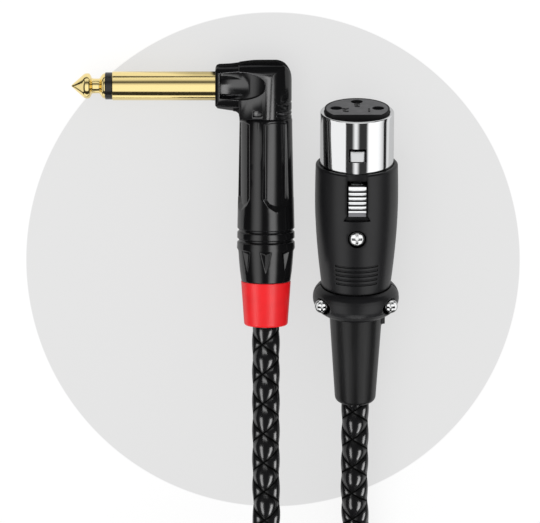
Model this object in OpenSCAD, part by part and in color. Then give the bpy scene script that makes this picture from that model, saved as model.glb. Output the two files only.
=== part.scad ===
// Microphone lead: a female three-pole XLR connector, a right-angle 6.35 mm mono jack plug,
// and the cable that joins them, wound in a coil.
// Millimetres, Z up. The lead lies on the plane z = 0, with its latch button facing up.

/* [Cable] */
// Outer diameter of the cable's quilted sheath
cable_d = 6.2; // [5.4:0.1:6.4]
// Diameter of one insulated core
core_d = 1.1; // [0.8:0.1:1.3]
// Diameter of the twisted screen
screen_d = 1.3; // [0.8:0.1:1.4]

/* [Coil] */
// Radius at the middle of the turns
coil_mean_r = 33.4; // [32:0.1:36]
// Turns of cable in the coil, which end where the two runs leave it
coil_turns = 8.6667; // [8.6667, 9.6667]
// Layers that the turns are piled in
coil_layers = 4; // [2, 4]
// Air between neighbouring turns
coil_gap = 0.5; // [0.45:0.05:1]
// Width of the hook-and-loop tie
tie_w = 12; // [6:1:20]
// Thickness of the hook-and-loop tie
tie_t = 1; // [0.8:0.1:2]

/* [XLR nose] */
// Outer diameter of the metal nose
nose_d = 16.2; // [15.8:0.1:16.4]
// Wall of the metal nose
nose_wall = 0.9; // [0.7:0.1:1]
// Length of nose that stands out of the handle
nose_reach = 11.9; // [11.5:0.1:13]
// Length of the metal shell inside the handle
nose_seat = 17; // [16.5:0.1:18]
// How much slimmer in radius the shell is inside the handle
seat_step = 0.3; // [0.2:0.05:0.35]
// Width of the latch window
window_w = 3.7; // [3.4:0.1:4.2]
// Length of the latch window along the nose
window_len = 3.1; // [3:0.1:3.4]
// Distance from the rim of the nose to the latch window
window_drop = 6.1; // [5.9:0.1:6.5]

/* [XLR insert] */
// How far the insert's face stands out of the nose
insert_proud = 0.8; // [0.4:0.1:1.2]
// Length of the insert
insert_len = 20.9; // [20:0.1:21.2]
// Distance from the axis to the insert's flat side
insert_flat = 4.6; // [4.4:0.1:4.8]
// Radius of the circle that the three contacts sit on
contact_circle_r = 4.6; // [4.4:0.1:4.8]
// Diameter of the holes in the insert's face
socket_hole_d = 2.6; // [2.5:0.05:2.8]
// Depth of those holes down to the contacts
socket_hole_len = 3; // [2:0.5:5]
// Outer diameter of a contact
contact_d = 3.4; // [3.2:0.1:3.5]
// Bore of a contact, for a 2.4 mm pin
contact_bore_d = 2.5; // [2.45:0.01:2.55]
// Depth of a contact's bore
contact_bore_len = 12; // [9:0.5:13]
// Length of a contact's solder cup
cup_len = 4.5; // [3:0.5:5]

/* [XLR latch] */
// Width of the latch button
button_w = 3.9; // [3:0.1:4.2]
// Length of the ribbed part of the button
button_len = 6.3; // [5.6:0.1:6.4]
// Number of ribs on the button
button_ribs = 6; // [4:1:7]
// Depth of the grooves between the ribs
rib_depth = 0.35; // [0.2:0.05:0.5]
// Distance from the axis to the top of the button
button_top = 9.9; // [9.6:0.1:10.4]
// Length of the low lip behind the ribs
lip_len = 0.9; // [0.5:0.1:1]
// Width of the latch arm
arm_w = 3.2; // [2.6:0.1:3.3]
// Thickness of the latch arm
arm_t = 1; // [0.8:0.1:1]
// How far the hook stands out of the nose
hook_proud = 0.2; // [0:0.05:0.5]
// Length of the hook along the nose
hook_len = 2.4; // [2:0.1:2.4]
// Diameter of the latch pin
latch_pin_d = 1; // [0.8:0.1:1.2]
// Distance from the rim of the nose to the latch pin
latch_pin_drop = 23.5; // [23.3:0.1:23.8]
// Wire of the latch spring
spring_wire = 0.3; // [0.25:0.05:0.35]
// Mean diameter of the latch spring
spring_d = 2; // [1.8:0.1:2.2]
// Turns of the latch spring
spring_turns = 5; // [4:1:6]

/* [XLR handle] */
// Length of the handle
handle_len = 28.5; // [28:0.1:30]
// Greatest diameter of the handle
handle_d = 18.36; // [18.2:0.02:18.8]
// Diameter of the handle's rim
handle_rim_d = 18.1; // [17.9:0.02:18.2]
// Diameter of the handle where it meets the clamp
handle_tail_d = 15.3; // [15:0.1:16]
// Diameter of the wiring space in the handle
wiring_d = 12.8; // [12.4:0.1:13]
// Number of engraved grip lines
grip_lines = 5; // [3:1:6]
// Distance between the grip lines
grip_pitch = 1.07; // [0.9:0.01:1.2]
// Angle that each grip line spans
grip_span = 69; // [40:1:90]
// Distance from the rim of the nose to the insert screw
screw_drop = 26.7; // [26.4:0.1:27.1]
// Head diameter of the insert screw
screw_head_d = 3.8; // [3.4:0.1:4]
// Shank diameter of the insert screw
screw_shank_d = 1.8; // [1.6:0.1:2]

/* [XLR clamp] */
// Length of the clamp's collar
collar_len = 6.7; // [6.4:0.1:7.2]
// Greatest diameter of the collar
collar_d = 19.2; // [19:0.1:20]
// Length of the collar's spigot inside the handle
spigot_len = 4.5; // [3:0.5:6]
// Distance between the two clamp screws
clamp_screw_spacing = 15.2; // [15:0.1:15.4]
// Head diameter of a clamp screw
clamp_head_d = 3.2; // [2.9:0.1:3.3]
// Shank diameter of a clamp screw
clamp_shank_d = 1.8; // [1.5:0.1:1.8]
// Length of the lands that grip the cable
grip_land_len = 3.2; // [2.5:0.1:3.4]
// Gap between the two halves of the clamp
clamp_gap = 0.2; // [0.1:0.05:0.3]

/* [XLR boot] */
// Length of the boot behind the collar
boot_len = 21; // [18:0.5:26]
// Diameter of the boot at the collar
boot_top_d = 11.8; // [11.2:0.1:12]
// Diameter of the boot at the cable
boot_end_d = 9.2; // [8.6:0.1:10]
// Rounding of the boot's end
boot_round = 1.2; // [0.4:0.1:1.3]

/* [Jack shaft] */
// Diameter of the sleeve, a quarter inch
sleeve_d = 6.35; // [6.3:0.01:6.4]
// Length from the tip to the elbow
shaft_len = 31.6; // [31:0.1:32.5]
// Length of the sleeve outside the elbow
sleeve_len = 22.6; // [21:0.1:23.5]
// Length of the black insulating ring
ring_len = 1.55; // [1.2:0.05:2]
// Diameter of the tip's rod
rod_d = 2; // [1.6:0.1:2.4]
// Diameter of the insulating bush round the rod
bush_d = 3.7; // [3.2:0.1:4]

/* [Jack elbow] */
// Diameter of the elbow's body
elbow_d = 11.6; // [11.4:0.1:12]
// Distance from the shaft's axis to the top of the elbow
elbow_top = 5.6; // [5.4:0.1:6]
// Distance from the shaft's axis to the barrel
elbow_drop = 6.94; // [6.6:0.02:7.6]
// Distance from the barrel's axis to the nose face
elbow_reach = 11.1; // [10.6:0.1:12]
// Height of the nose at its face
elbow_nose_h = 9.1; // [8.7:0.1:9.4]
// Rounding of the elbow's outer corner
elbow_corner_r = 4; // [3:0.1:4.6]
// Depth of the dish in each side of the nose
dish_depth = 2.8; // [2.2:0.1:2.9]
// Height of the dish
dish_h = 6.1; // [5:0.1:6.3]
// Length of the dish's rounded end
dish_round = 6; // [4:0.5:7]

/* [Jack barrel] */
// Length of the barrel
barrel_len = 36.26; // [34:0.1:40]
// Diameter of the barrel at the elbow
barrel_top_d = 11.6; // [11.4:0.1:11.8]
// Greatest diameter of the barrel
barrel_d = 12.8; // [12.4:0.1:13.4]
// Diameter of the barrel at the ring
barrel_end_d = 10.9; // [10.6:0.1:11.2]
// Bore of the barrel
barrel_bore_d = 9.2; // [8.8:0.1:9.4]
// Radius of the recessed panels' floors
panel_r = 5.5; // [5.3:0.05:5.6]
// Length of the recessed panels
panel_len = 20.6; // [16:0.1:22]
// Number of recessed panels
panel_count = 4; // [3:1:4]
// Number of notches round the rear of the barrel
notch_count = 8; // [6:1:8]
// Length of a notch
notch_len = 5.6; // [3:0.1:5.8]
// Width of a notch at its wide end
notch_w = 3.4; // [2:0.1:3.4]

/* [Jack ring] */
// Length of the red ring
red_len = 9.9; // [8:0.1:12]
// Diameter of the red ring at the barrel
red_top_d = 11; // [10.4:0.1:11.2]
// Diameter of the red ring at the cable
red_end_d = 9.7; // [9:0.1:10.2]
// Rounding of the red ring's end
red_round = 0.6; // [0.2:0.1:1]
// Length of the chuck that grips the cable
chuck_len = 11; // [8:0.5:12]

/* [Fits] */
// Clearance of each seat, in radius
fit = 0.05; // [0.02:0.01:0.08]
// Gap round the moving latch
latch_gap = 0.25; // [0.2:0.05:0.3]

/* [Layout] */
// Place of the XLR connector's axis across the lead
xlr_x = 26.5; // [24:0.5:30]
// Place of the boot's end along the lead
xlr_exit_y = -39.4; // [-40:0.1:-38]
// Place of the jack barrel's axis across the lead
jack_x = 6.5; // [5:0.5:8]
// Place of the red ring's end along the lead
jack_exit_y = -18.5; // [-20:0.1:-17]
// Tilt of the jack plug, whose cable comes from the top of the coil
jack_tilt = 12; // [11:0.5:13]

/* [Hidden] */
$fn = 64;
over = 1; // how far a cut runs past the face it opens

// XLR connector, measured from the boot's end along its axis
collar_z = boot_len;
handle_z = collar_z + collar_len;
handle_top = handle_z + handle_len;
nose_top = handle_top + nose_reach;
insert_face = nose_top + insert_proud;
insert_back = insert_face - insert_len;
nose_bore_r = nose_d / 2 - nose_wall;
seat_r = nose_d / 2 - seat_step;
seat_z = handle_top - nose_seat;
latch_pin_z = nose_top - latch_pin_drop;
arm_in = insert_flat + 0.7;
arm_out = arm_in + arm_t;
latch_pin_y = arm_in + arm_t / 2;
lever_boss_r = latch_pin_d / 2 + 0.45;
window_z = nose_top - window_drop - window_len;
hook_z = window_z + latch_gap;
button_z = latch_pin_z + 3.1;
lip_z = button_z - lip_len;
slot_z = lip_z - latch_gap;
slot_w = button_w + 2 * latch_gap;
slot_top = button_z + button_len + 2 * latch_gap + 0.1;
channel_floor = insert_flat - 1.1;
channel_w = arm_w + 4 * latch_gap;
channel_z = latch_pin_z - lever_boss_r - latch_gap;
spring_z = button_z + button_len / 2;
spring_pocket = 2.4;
spring_len = arm_in - channel_floor + spring_pocket;
screw_z = nose_top - screw_drop;
screw_end = insert_flat - 1.8;
tongue_w = 5.2;
tongue_floor = 2.2;
tongue_z = screw_z - screw_shank_d;
contact_r = contact_d / 2;
contact_top = insert_face - socket_hole_len;
cup_end = insert_back - cup_len;
cable_end_top = handle_z + 1.3;
land_z = collar_z + 0.28 * collar_len;
boot_neck_r = cable_d / 2 + 1.9;
spigot_r = wiring_d / 2 - fit;
collar_bore_r = cable_d / 2 + 1.5;
clamp_screw_z = collar_z + 0.48 * collar_len;
clamp_seat = 0.22 * collar_d;
clamp_head_t = 0.38 * clamp_head_d;
clamp_screw_end = 0.28 * collar_d;
xlr_axis_z = collar_d / 2;

// Jack plug, measured from the red ring's end along its barrel
barrel_z = red_len;
joint_z = barrel_z + barrel_len;
shaft_z = joint_z + elbow_drop;
elbow_top_z = shaft_z + elbow_top;
notch_z = barrel_z + 1.7;
widest_z = barrel_z + 7.4;
groove_z = [widest_z + 1.8, widest_z + 4];
panels_z = joint_z - panel_len;
panel_turn = 24;
cavity_r = elbow_d / 2 - 1.4;
spigot_bore_r = barrel_bore_d / 2 - 1;
sleeve_seat_r = sleeve_d / 2 - 0.175;
sleeve_back = 3.2;
lug_t = 0.4;
lug_w = 2.8;
lug_rim = 0.9;
lug_end = joint_z - 7;
lug_step = 4.5;
tip_lug_x = fit - 2;
rod_back = 0.6;
jack_end_top = red_len + chuck_len + 6;
elbow_half = elbow_d / 2;
jack_exit_z = (elbow_half - elbow_corner_r) * cos(jack_tilt)
    + (elbow_top_z - elbow_corner_r) * sin(jack_tilt) + elbow_corner_r;

// Coil, wound clockwise from the bottom layer's outside to the top layer's outside
coil_centre = [6.5, -136];
coil_step = cable_d + coil_gap;
coil_entry = 20;
coil_lead = cable_d;
loop_rings = 24;
turns_per_layer = coil_turns / coil_layers;
coil_outer_r = coil_mean_r + turns_per_layer * coil_step / 2;
coil_inner_r = coil_outer_r - turns_per_layer * coil_step;
coil_floor = cable_d / 2 + tie_t + fit;
tie_inner_r = coil_inner_r - cable_d / 2 - fit;
tie_outer_r = coil_outer_r + cable_d / 2 + fit;
tie_height = (coil_layers - 1) * coil_step + cable_d + 2 * fit;
tie_round = 3;

function unit(v) = v / norm(v);

function ramp(x) = min(1, max(0, x));

function sum(v, i = 0) = i < len(v) ? v[i] + sum(v, i + 1) : 0;

// Radius of the coil after t turns: in and out at a steady rate, layer by layer
function coil_r(t) = let(u = t / turns_per_layer, k = floor(u), part = u - k)
    coil_outer_r - (coil_outer_r - coil_inner_r) * (k % 2 == 0 ? part : 1 - part);

// Height of the coil after t turns: a layer up in the half turn where the spiral reverses
function coil_height(t) = coil_floor + coil_step
    * sum([for (k = [1:1:coil_layers - 1]) ramp(2 * (t - k * turns_per_layer) + 0.5)]);

function coil_angle(t) = coil_entry - 360 * t;

function coil_point(t) = [
    coil_centre.x + coil_r(t) * cos(coil_angle(t)),
    coil_centre.y + coil_r(t) * sin(coil_angle(t)),
    coil_height(t)
];

function coil_way(t) = [sin(coil_angle(t)), -cos(coil_angle(t)), 0];

coil_steps = round(coil_turns * loop_rings);
coil_winding = [for (i = [0:coil_steps]) coil_point(coil_turns * i / coil_steps)];
coil_start = coil_winding[0] - coil_lead * coil_way(0);
coil_finish = coil_winding[coil_steps] + coil_lead * coil_way(coil_turns);
coil_path = concat([coil_start], coil_winding, [coil_finish]);

// Routes of the two free runs, from each connector to the coil
exit_lead = 2 * cable_d;
xlr_exit = [xlr_x, xlr_exit_y, xlr_axis_z];
xlr_route = concat(
    [xlr_exit, xlr_exit - [0, exit_lead, 0]],
    [[26.5, -63, 8.6], [27.4, -74, 6.8], [31, -85, 5.4], [35.3, -97, 4.6]],
    [coil_start - exit_lead * coil_way(0), coil_start]
);
jack_exit = [jack_x, jack_exit_y, jack_exit_z];
jack_way = [0, -cos(jack_tilt), sin(jack_tilt)];
jack_route = concat(
    [jack_exit, jack_exit + exit_lead * jack_way],
    [[6.5, -42, 21.8], [6.5, -53, 23.2], [6.5, -63, 24], [4.8, -72.4, 24.2], [0, -80.7, 24.3],
     [-6, -87.9, 24.3]],
    [coil_finish + exit_lead * coil_way(coil_turns), coil_finish]
);

function route_length(p) = sum([for (i = [1:len(p) - 1]) norm(p[i] - p[i - 1])]);

coil_least = min([for (i = [0:len(coil_path) - 1]) for (j = [i + loop_rings / 2:1:len(coil_path) - 1])
    norm(coil_path[j] - coil_path[i])]);
echo(least_gap_of_coil_to_itself = coil_least - cable_d);
echo(cable_length = route_length(xlr_route) + route_length(coil_path) + route_length(jack_route));
echo(lengths = [route_length(xlr_route), route_length(coil_path), route_length(jack_route)]);
echo(coil_radii = [coil_inner_r, coil_outer_r], jack_exit_z = jack_exit_z);

// ---- shared shapes ----

function heading(p, i) = unit(p[min(i + 1, len(p) - 1)] - p[max(i - 1, 0)]);

// A tube swept along points, with its seam kept level with the direction "up"
module tube(p, d, sides, up = [0, 0, 1]) {
    last = len(p) - 1;
    rings = [for (i = [0:last]) let(h = heading(p, i), s = unit(cross(h, up)), u = cross(s, h))
        for (a = [0:sides - 1]) let(turn = 360 * (a + 0.5) / sides)
            p[i] + d / 2 * (cos(turn) * s + sin(turn) * u)];
    walls = [for (i = [0:last - 1]) for (a = [0:sides - 1])
        let(b = (a + 1) % sides, q = i * sides, r = q + sides)
            for (face = [[q + a, q + b, r + b], [q + a, r + b, r + a]]) face];
    caps = [for (a = [1:sides - 2])
        for (face = [[0, a + 1, a], [last * sides, last * sides + a, last * sides + a + 1]]) face];
    polyhedron(rings, concat(walls, caps));
}

// A ring of metal or plastic, round the Z axis
module bush(outer_r, inner_r, z0, z1) {
    translate([0, 0, z0]) difference() {
        cylinder(h = z1 - z0, r = outer_r);
        translate([0, 0, -over]) cylinder(h = z1 - z0 + 2 * over, r = inner_r);
    }
}

// A rod along Y, from y0 to y1
module rod_y(r, y0, y1) {
    translate([0, y0, 0]) rotate([-90, 0, 0]) cylinder(h = y1 - y0, r = r);
}

// A rod along X, from x0 to x1
module rod_x(r, x0, x1) {
    translate([x0, 0, 0]) rotate([0, 90, 0]) cylinder(h = x1 - x0, r = r);
}

// A pan head screw along Y: the head faces -Y and its underside is at y = 0
module pan_screw(head_r, head_t, shank_r, shank_len) {
    edge = 0.4 * head_t;
    cross_w = 0.3 * head_r;
    rotate([90, 0, 0]) difference() {
        rotate_extrude() polygon(concat(
            [[0, -shank_len], [shank_r, -shank_len], [shank_r, 0], [head_r, 0], [head_r, edge]],
            [for (a = [15:15:90]) [head_r * cos(a), edge + (head_t - edge) * sin(a)]]
        ));
        for (a = [0, 90])
            rotate([0, 0, a]) translate([-0.62 * head_r, -cross_w / 2, 0.35 * head_t])
                cube([1.24 * head_r, cross_w, head_t]);
    }
}

// Places of contacts 1 to 3 round the axis of the insert
contact_places = [
    [contact_circle_r, 0],
    [-contact_circle_r, 0],
    [0, contact_circle_r]
];

module xlr() {
    translate([xlr_x, xlr_exit_y, xlr_axis_z]) rotate([-90, 0, 0]) children();
}

module jack() {
    translate(jack_exit) rotate([-90 - jack_tilt, 0, 0]) children();
}

// ---- XLR connector: the latch faces -Y, the nose +Z ----

module xlr_shell() {
    color("silver") xlr() difference() {
        union() {
            translate([0, 0, handle_top]) cylinder(h = nose_reach, d = nose_d);
            translate([0, 0, seat_z]) cylinder(h = nose_seat, r = seat_r);
        }
        translate([0, 0, seat_z - over]) cylinder(h = nose_seat + nose_reach + 2 * over, r = nose_bore_r);
        translate([-window_w / 2, -nose_d / 2 - over, window_z])
            cube([window_w, nose_d / 2, window_len]);
        translate([-slot_w / 2, -nose_d / 2 - over, slot_z])
            cube([slot_w, nose_d / 2, slot_top - slot_z]);
        translate([0, 0, screw_z]) rod_y(screw_shank_d / 2 + fit, -nose_d, 0);
        translate([0, -latch_pin_y, latch_pin_z]) rod_x(latch_pin_d / 2 + fit, -nose_d, nose_d);
    }
}

module socket_insert() {
    body_r = nose_bore_r - fit;
    color("dimgray") xlr() difference() {
        union() {
            difference() {
                translate([0, 0, insert_back]) cylinder(h = insert_len, r = body_r);
                translate([-body_r, -body_r - insert_flat, insert_back - over])
                    cube([2 * body_r, body_r, insert_len + 2 * over]);
            }
            translate([-tongue_w / 2, -insert_flat, tongue_z])
                cube([tongue_w, insert_flat - tongue_floor, insert_back - tongue_z + over]);
        }
        for (place = contact_places) translate([place.x, place.y, 0]) {
            translate([0, 0, contact_top - over])
                cylinder(h = socket_hole_len + 2 * over, d = socket_hole_d);
            translate([0, 0, insert_back - over])
                cylinder(h = contact_top - insert_back + over, r = contact_r + fit);
        }
        translate([-channel_w / 2, -insert_flat - over, channel_z])
            cube([channel_w, insert_flat - channel_floor + over, window_z + window_len + 0.8 - channel_z]);
        translate([0, 0, spring_z]) rod_y(spring_d / 2 + spring_wire, -insert_flat,
            spring_pocket - channel_floor);
        translate([0, 0, screw_z]) rod_y(screw_shank_d / 2 + fit, -insert_flat - over, 0);
    }
}

module contact(number) {
    place = contact_places[number - 1];
    wall = (contact_d - contact_bore_d) / 2;
    cup_r = contact_r - 0.2;
    color("gold") xlr() translate([place.x, place.y, 0]) difference() {
        union() {
            translate([0, 0, insert_back]) cylinder(h = contact_top - insert_back, r = contact_r);
            translate([0, 0, cup_end]) cylinder(h = cup_len, r = cup_r);
        }
        translate([0, 0, contact_top - contact_bore_len])
            cylinder(h = contact_bore_len + over, d = contact_bore_d);
        translate([0, 0, cup_end - over]) cylinder(h = cup_len, r = cup_r - wall);
        translate([-cup_r - over, -cup_r - over, cup_end - over])
            cube([2 * cup_r + 2 * over, cup_r + over, cup_len / 2 + over]);
    }
}

module contact_1() {
    contact(1);
}

module contact_2() {
    contact(2);
}

module contact_3() {
    contact(3);
}

module latch_lever() {
    rib_pitch = button_len / button_ribs;
    hook_top = nose_d / 2 + hook_proud;
    color("lightgray") xlr() difference() {
        union() {
            translate([-arm_w / 2, -arm_out, latch_pin_z])
                cube([arm_w, arm_t, hook_z + hook_len - latch_pin_z]);
            intersection() {
                translate([-arm_w / 2, -hook_top, hook_z])
                    cube([arm_w, hook_top - arm_out + arm_t / 2, hook_len]);
                translate([0, 0, hook_z - over]) cylinder(h = hook_len + 2 * over, r = hook_top);
            }
            translate([-button_w / 2, -button_top, button_z])
                cube([button_w, button_top - arm_out + arm_t / 2, button_len]);
            translate([-button_w / 2, -button_top + 2 * rib_depth, lip_z])
                cube([button_w, button_top - 2 * rib_depth - arm_out + arm_t / 2, lip_len + 0.1]);
            translate([0, -latch_pin_y, latch_pin_z]) rod_x(lever_boss_r, -arm_w / 2, arm_w / 2);
        }
        translate([0, -latch_pin_y, latch_pin_z]) rod_x(latch_pin_d / 2 + fit, -arm_w, arm_w);
        for (i = [1:button_ribs - 1])
            translate([0, -button_top, button_z + i * rib_pitch])
                rotate([45, 0, 0])
                    cube([2 * button_w, rib_depth * sqrt(2), rib_depth * sqrt(2)], center = true);
    }
}

module latch_pin() {
    reach = sqrt(pow(seat_r, 2) - pow(latch_pin_y + latch_pin_d / 2, 2)) - fit;
    color("silver") xlr() translate([0, -latch_pin_y, latch_pin_z])
        rod_x(latch_pin_d / 2, -reach, reach);
}

module latch_spring() {
    sides = 6;
    steps = 8;
    rise = spring_len - spring_wire - 2 * fit;
    helix = [for (i = [0:spring_turns * steps]) let(a = 360 * i / steps)
        [spring_d / 2 * cos(a), rise * i / (spring_turns * steps), spring_d / 2 * sin(a)]];
    color("silver") xlr()
        translate([0, spring_wire / 2 + fit - arm_in, spring_z])
            tube(helix, spring_wire, sides, [0, 1, 0]);
}

// Radius of the handle at a share of its length, from its tail to its rim
function handle_r(share) = let(widest = 0.7) share < widest
    ? handle_d / 2 - (handle_d - handle_tail_d) / 2 * pow(1 - share / widest, 1.7)
    : handle_d / 2 - (handle_d - handle_rim_d) / 2 * pow((share - widest) / (1 - widest), 2);

module handle_housing() {
    slices = 16;
    rim_round = 0.3;
    grip_z = handle_z + 2.6;
    recess_floor = seat_r + fit + 0.4;
    flare = 0.75;
    color([0.13, 0.13, 0.13]) xlr() difference() {
        rotate_extrude() polygon(concat(
            [[0, handle_z]],
            [for (i = [0:slices - 1]) [handle_r(i / slices), handle_z + handle_len * i / slices]],
            [[handle_r(1), handle_top - rim_round], [handle_r(1) - rim_round, handle_top], [0, handle_top]]
        ));
        translate([0, 0, handle_z - over]) cylinder(h = handle_len + 2 * over, d = wiring_d);
        translate([0, 0, seat_z]) cylinder(h = nose_seat + over, r = seat_r + fit);
        translate([-slot_w / 2, -handle_d, slot_z])
            cube([slot_w, handle_d, slot_top - slot_z]);
        translate([-slot_w / 2, -handle_d, slot_top - over])
            cube([slot_w, handle_d - recess_floor, handle_top - slot_top + 2 * over]);
        translate([0, -recess_floor, slot_z]) rotate([90, 0, 0]) linear_extrude(handle_d)
            polygon([[-slot_w / 2, over / 2], [slot_w / 2, over / 2],
                [slot_w / 2 + flare, -1], [-slot_w / 2 - flare, -1]]);
        translate([0, 0, screw_z]) rod_y(screw_head_d / 2 + 0.15, -handle_d, -seat_r / 2);
        for (i = [0:grip_lines - 1])
            let(z = grip_z + i * grip_pitch, r = handle_r((z - handle_z) / handle_len))
                translate([0, 0, z]) rotate_extrude(angle = grip_span, start = 270 - grip_span / 2)
                    translate([r, 0]) circle(r = 0.22, $fn = 16);
    }
}

module insert_screw() {
    head_t = 0.95;
    color("silver") xlr() translate([0, -seat_r - fit, screw_z])
        pan_screw(screw_head_d / 2, head_t, screw_shank_d / 2, seat_r + fit - screw_end);
}

// Outline of the collar, as a share of its greatest radius and of its length
collar_outline = [
    [0.65, 0], [0.77, 0.05], [0.88, 0.16], [0.955, 0.31], [0.99, 0.44], [1, 0.55],
    [0.99, 0.7], [0.955, 0.83], [0.9, 0.93], [0.83, 1]
];

module clamp_body() {
    difference() {
        union() {
            rotate_extrude() polygon(concat(
                [[0, collar_z]],
                [for (p = collar_outline) [p.x * collar_d / 2, collar_z + p.y * collar_len]],
                [[0, handle_z]]
            ));
            translate([0, 0, handle_z - over]) cylinder(h = spigot_len + over, r = spigot_r);
        }
        translate([0, 0, collar_z - over])
            cylinder(h = collar_len + spigot_len + 2 * over, r = cable_d / 2 + fit);
        translate([0, 0, collar_z - over])
            cylinder(h = land_z - collar_z + over, r = boot_neck_r + fit);
        translate([0, 0, land_z + grip_land_len])
            cylinder(h = handle_z + spigot_len, r = collar_bore_r);
        for (x = [-1, 1] * clamp_screw_spacing / 2) translate([x, 0, clamp_screw_z]) {
            rod_y(clamp_head_d / 2 + 0.25, -collar_d, -clamp_seat);
            rod_y(clamp_shank_d / 2 + fit, -collar_d, clamp_screw_end + 0.3);
        }
    }
}

module clamp_half(side) {
    width = 2 * collar_d;
    color([0.12, 0.12, 0.12]) xlr() intersection() {
        clamp_body();
        translate([-width / 2, side > 0 ? clamp_gap / 2 : -clamp_gap / 2 - width, collar_z - over])
            cube([width, width, 2 * (collar_len + spigot_len)]);
    }
}

module clamp_top() {
    clamp_half(-1);
}

module clamp_base() {
    clamp_half(1);
}

module clamp_screws() {
    color("silver") xlr() for (x = [-1, 1] * clamp_screw_spacing / 2)
        translate([x, -clamp_seat, clamp_screw_z])
            pan_screw(clamp_head_d / 2, clamp_head_t, clamp_shank_d / 2, clamp_seat + clamp_screw_end);
}

module xlr_boot() {
    end_r = boot_end_d / 2;
    neck_top = land_z - fit;
    tab_t = 0.9;
    color([0.16, 0.16, 0.16]) xlr() {
        difference() {
            rotate_extrude() polygon(concat(
                [[0, 0]],
                [for (a = [-90:15:0])
                    [end_r - boot_round + boot_round * cos(a), boot_round + boot_round * sin(a)]],
                [[boot_top_d / 2, collar_z], [boot_neck_r, collar_z], [boot_neck_r, neck_top],
                 [0, neck_top]]
            ));
            translate([0, 0, -over]) cylinder(h = neck_top + 2 * over, d = cable_d + 2 * fit);
        }
        translate([boot_top_d / 2 - 0.5, -tab_t / 2, collar_z - 2.6]) cube([1.1, tab_t, 2.6]);
    }
}

module xlr_cable_end() {
    color([0.2, 0.2, 0.2]) xlr() cylinder(h = cable_end_top, d = cable_d);
}

// One core from the cable's end to a solder cup, as an easy bend
module xlr_core(number, core_diameter) {
    place = contact_places[number - 1];
    start = place * (cable_d / 2 - core_diameter) / norm(place);
    foot = cable_end_top + fit;
    rise = cup_end + cup_len / 2 - foot;
    route = [for (i = [0:8]) let(s = i / 8, ease = s * s * (3 - 2 * s))
        [start.x + (place.x - start.x) * ease, start.y + (place.y - start.y) * ease, foot + rise * s]];
    xlr() tube(route, core_diameter, 8, [0.3, 1, 0]);
}

module xlr_core_hot() {
    color("red") xlr_core(2, core_d);
}

module xlr_core_cold() {
    color("white") xlr_core(3, core_d);
}

module xlr_screen() {
    color("tan") xlr_core(1, screen_d);
}

// ---- jack plug: the shaft points to -X, the elbow is at +Z ----

// Outline of the tip along the shaft, from its point: distance from the point, radius
tip_outline = [
    [0, 0.12], [2.6, 2.5], [3, 2.75], [3.5, 2.8], [4, 2.7], [4.35, 2.2], [4.55, 1.7], [5.3, 1.62],
    [6.1, 1.62], [6.3, 1.85], [6.8, 2.55], [7.1, 2.72], [7.45, 2.8]
];
tip_len = shaft_len - sleeve_len - ring_len;
tip_x = -elbow_reach - shaft_len;

module on_shaft() {
    translate([0, 0, shaft_z]) rotate([0, 90, 0]) children();
}

module plug_tip() {
    last = tip_outline[len(tip_outline) - 1];
    color("gold") jack() on_shaft() rotate_extrude() polygon(concat(
        [[0, tip_x]],
        [for (p = tip_outline) [p.y, tip_x + p.x * tip_len / last.x]],
        [[rod_d / 2, tip_x + tip_len], [rod_d / 2, -rod_back], [0, -rod_back]]
    ));
}

module tip_insulator() {
    color([0.1, 0.1, 0.1]) jack() on_shaft() {
        bush(sleeve_d / 2 - 0.2, rod_d / 2 + fit, tip_x + tip_len, tip_x + tip_len + ring_len);
        bush(bush_d / 2, rod_d / 2 + fit, tip_x + tip_len + ring_len - fit, -2);
    }
}

module plug_sleeve() {
    front = tip_x + tip_len + ring_len;
    color("gold") jack() on_shaft() difference() {
        union() {
            translate([0, 0, front]) cylinder(h = sleeve_len, d = sleeve_d);
            translate([0, 0, -elbow_reach - over])
                cylinder(h = elbow_reach + over - sleeve_back, r = sleeve_seat_r);
        }
        translate([0, 0, front - over]) cylinder(h = shaft_len + elbow_reach, r = bush_d / 2 + fit);
    }
}

// Side view of the elbow, X to the right and Z up
module elbow_side() {
    nose_half = elbow_nose_h / 2;
    back = elbow_half - 0.15;
    arc_x = back - elbow_corner_r;
    arc_z = elbow_top_z - elbow_corner_r;
    face_x = -elbow_reach;
    fillet_r = 1.2;
    fillet_z = shaft_z - nose_half - 0.75 - fillet_r;
    polygon(concat(
        [[-elbow_half, joint_z], [back, joint_z]],
        [for (a = [0:10:90]) [arc_x + elbow_corner_r * cos(a), arc_z + elbow_corner_r * sin(a)]],
        [[-2.5, elbow_top_z - 0.1], [-4.5, elbow_top_z - 0.4], [face_x + 3.4, shaft_z + nose_half + 0.15],
         [face_x + 0.8, shaft_z + nose_half], [face_x + 0.25, shaft_z + nose_half - 0.25],
         [face_x, shaft_z + nose_half - 0.9], [face_x, shaft_z - nose_half + 0.6],
         [face_x + 0.5, shaft_z - nose_half - 0.1]],
        [for (a = [90:-15:0])
            [-elbow_half - fillet_r * (1 - cos(a)), fillet_z + fillet_r * sin(a)]]
    ));
}

// Plan of the elbow: round behind, drawn in towards the nose
module elbow_plan() {
    nose_r = elbow_nose_h / 2 + 0.1;
    circle(r = elbow_half);
    polygon([
        [0, -elbow_half], [-3, -elbow_half * 0.97], [-elbow_reach + 0.6, -nose_r],
        [-elbow_reach, -nose_r + 0.6], [-elbow_reach, nose_r - 0.6], [-elbow_reach + 0.6, nose_r],
        [-3, elbow_half * 0.97], [0, elbow_half]
    ]);
}

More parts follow.
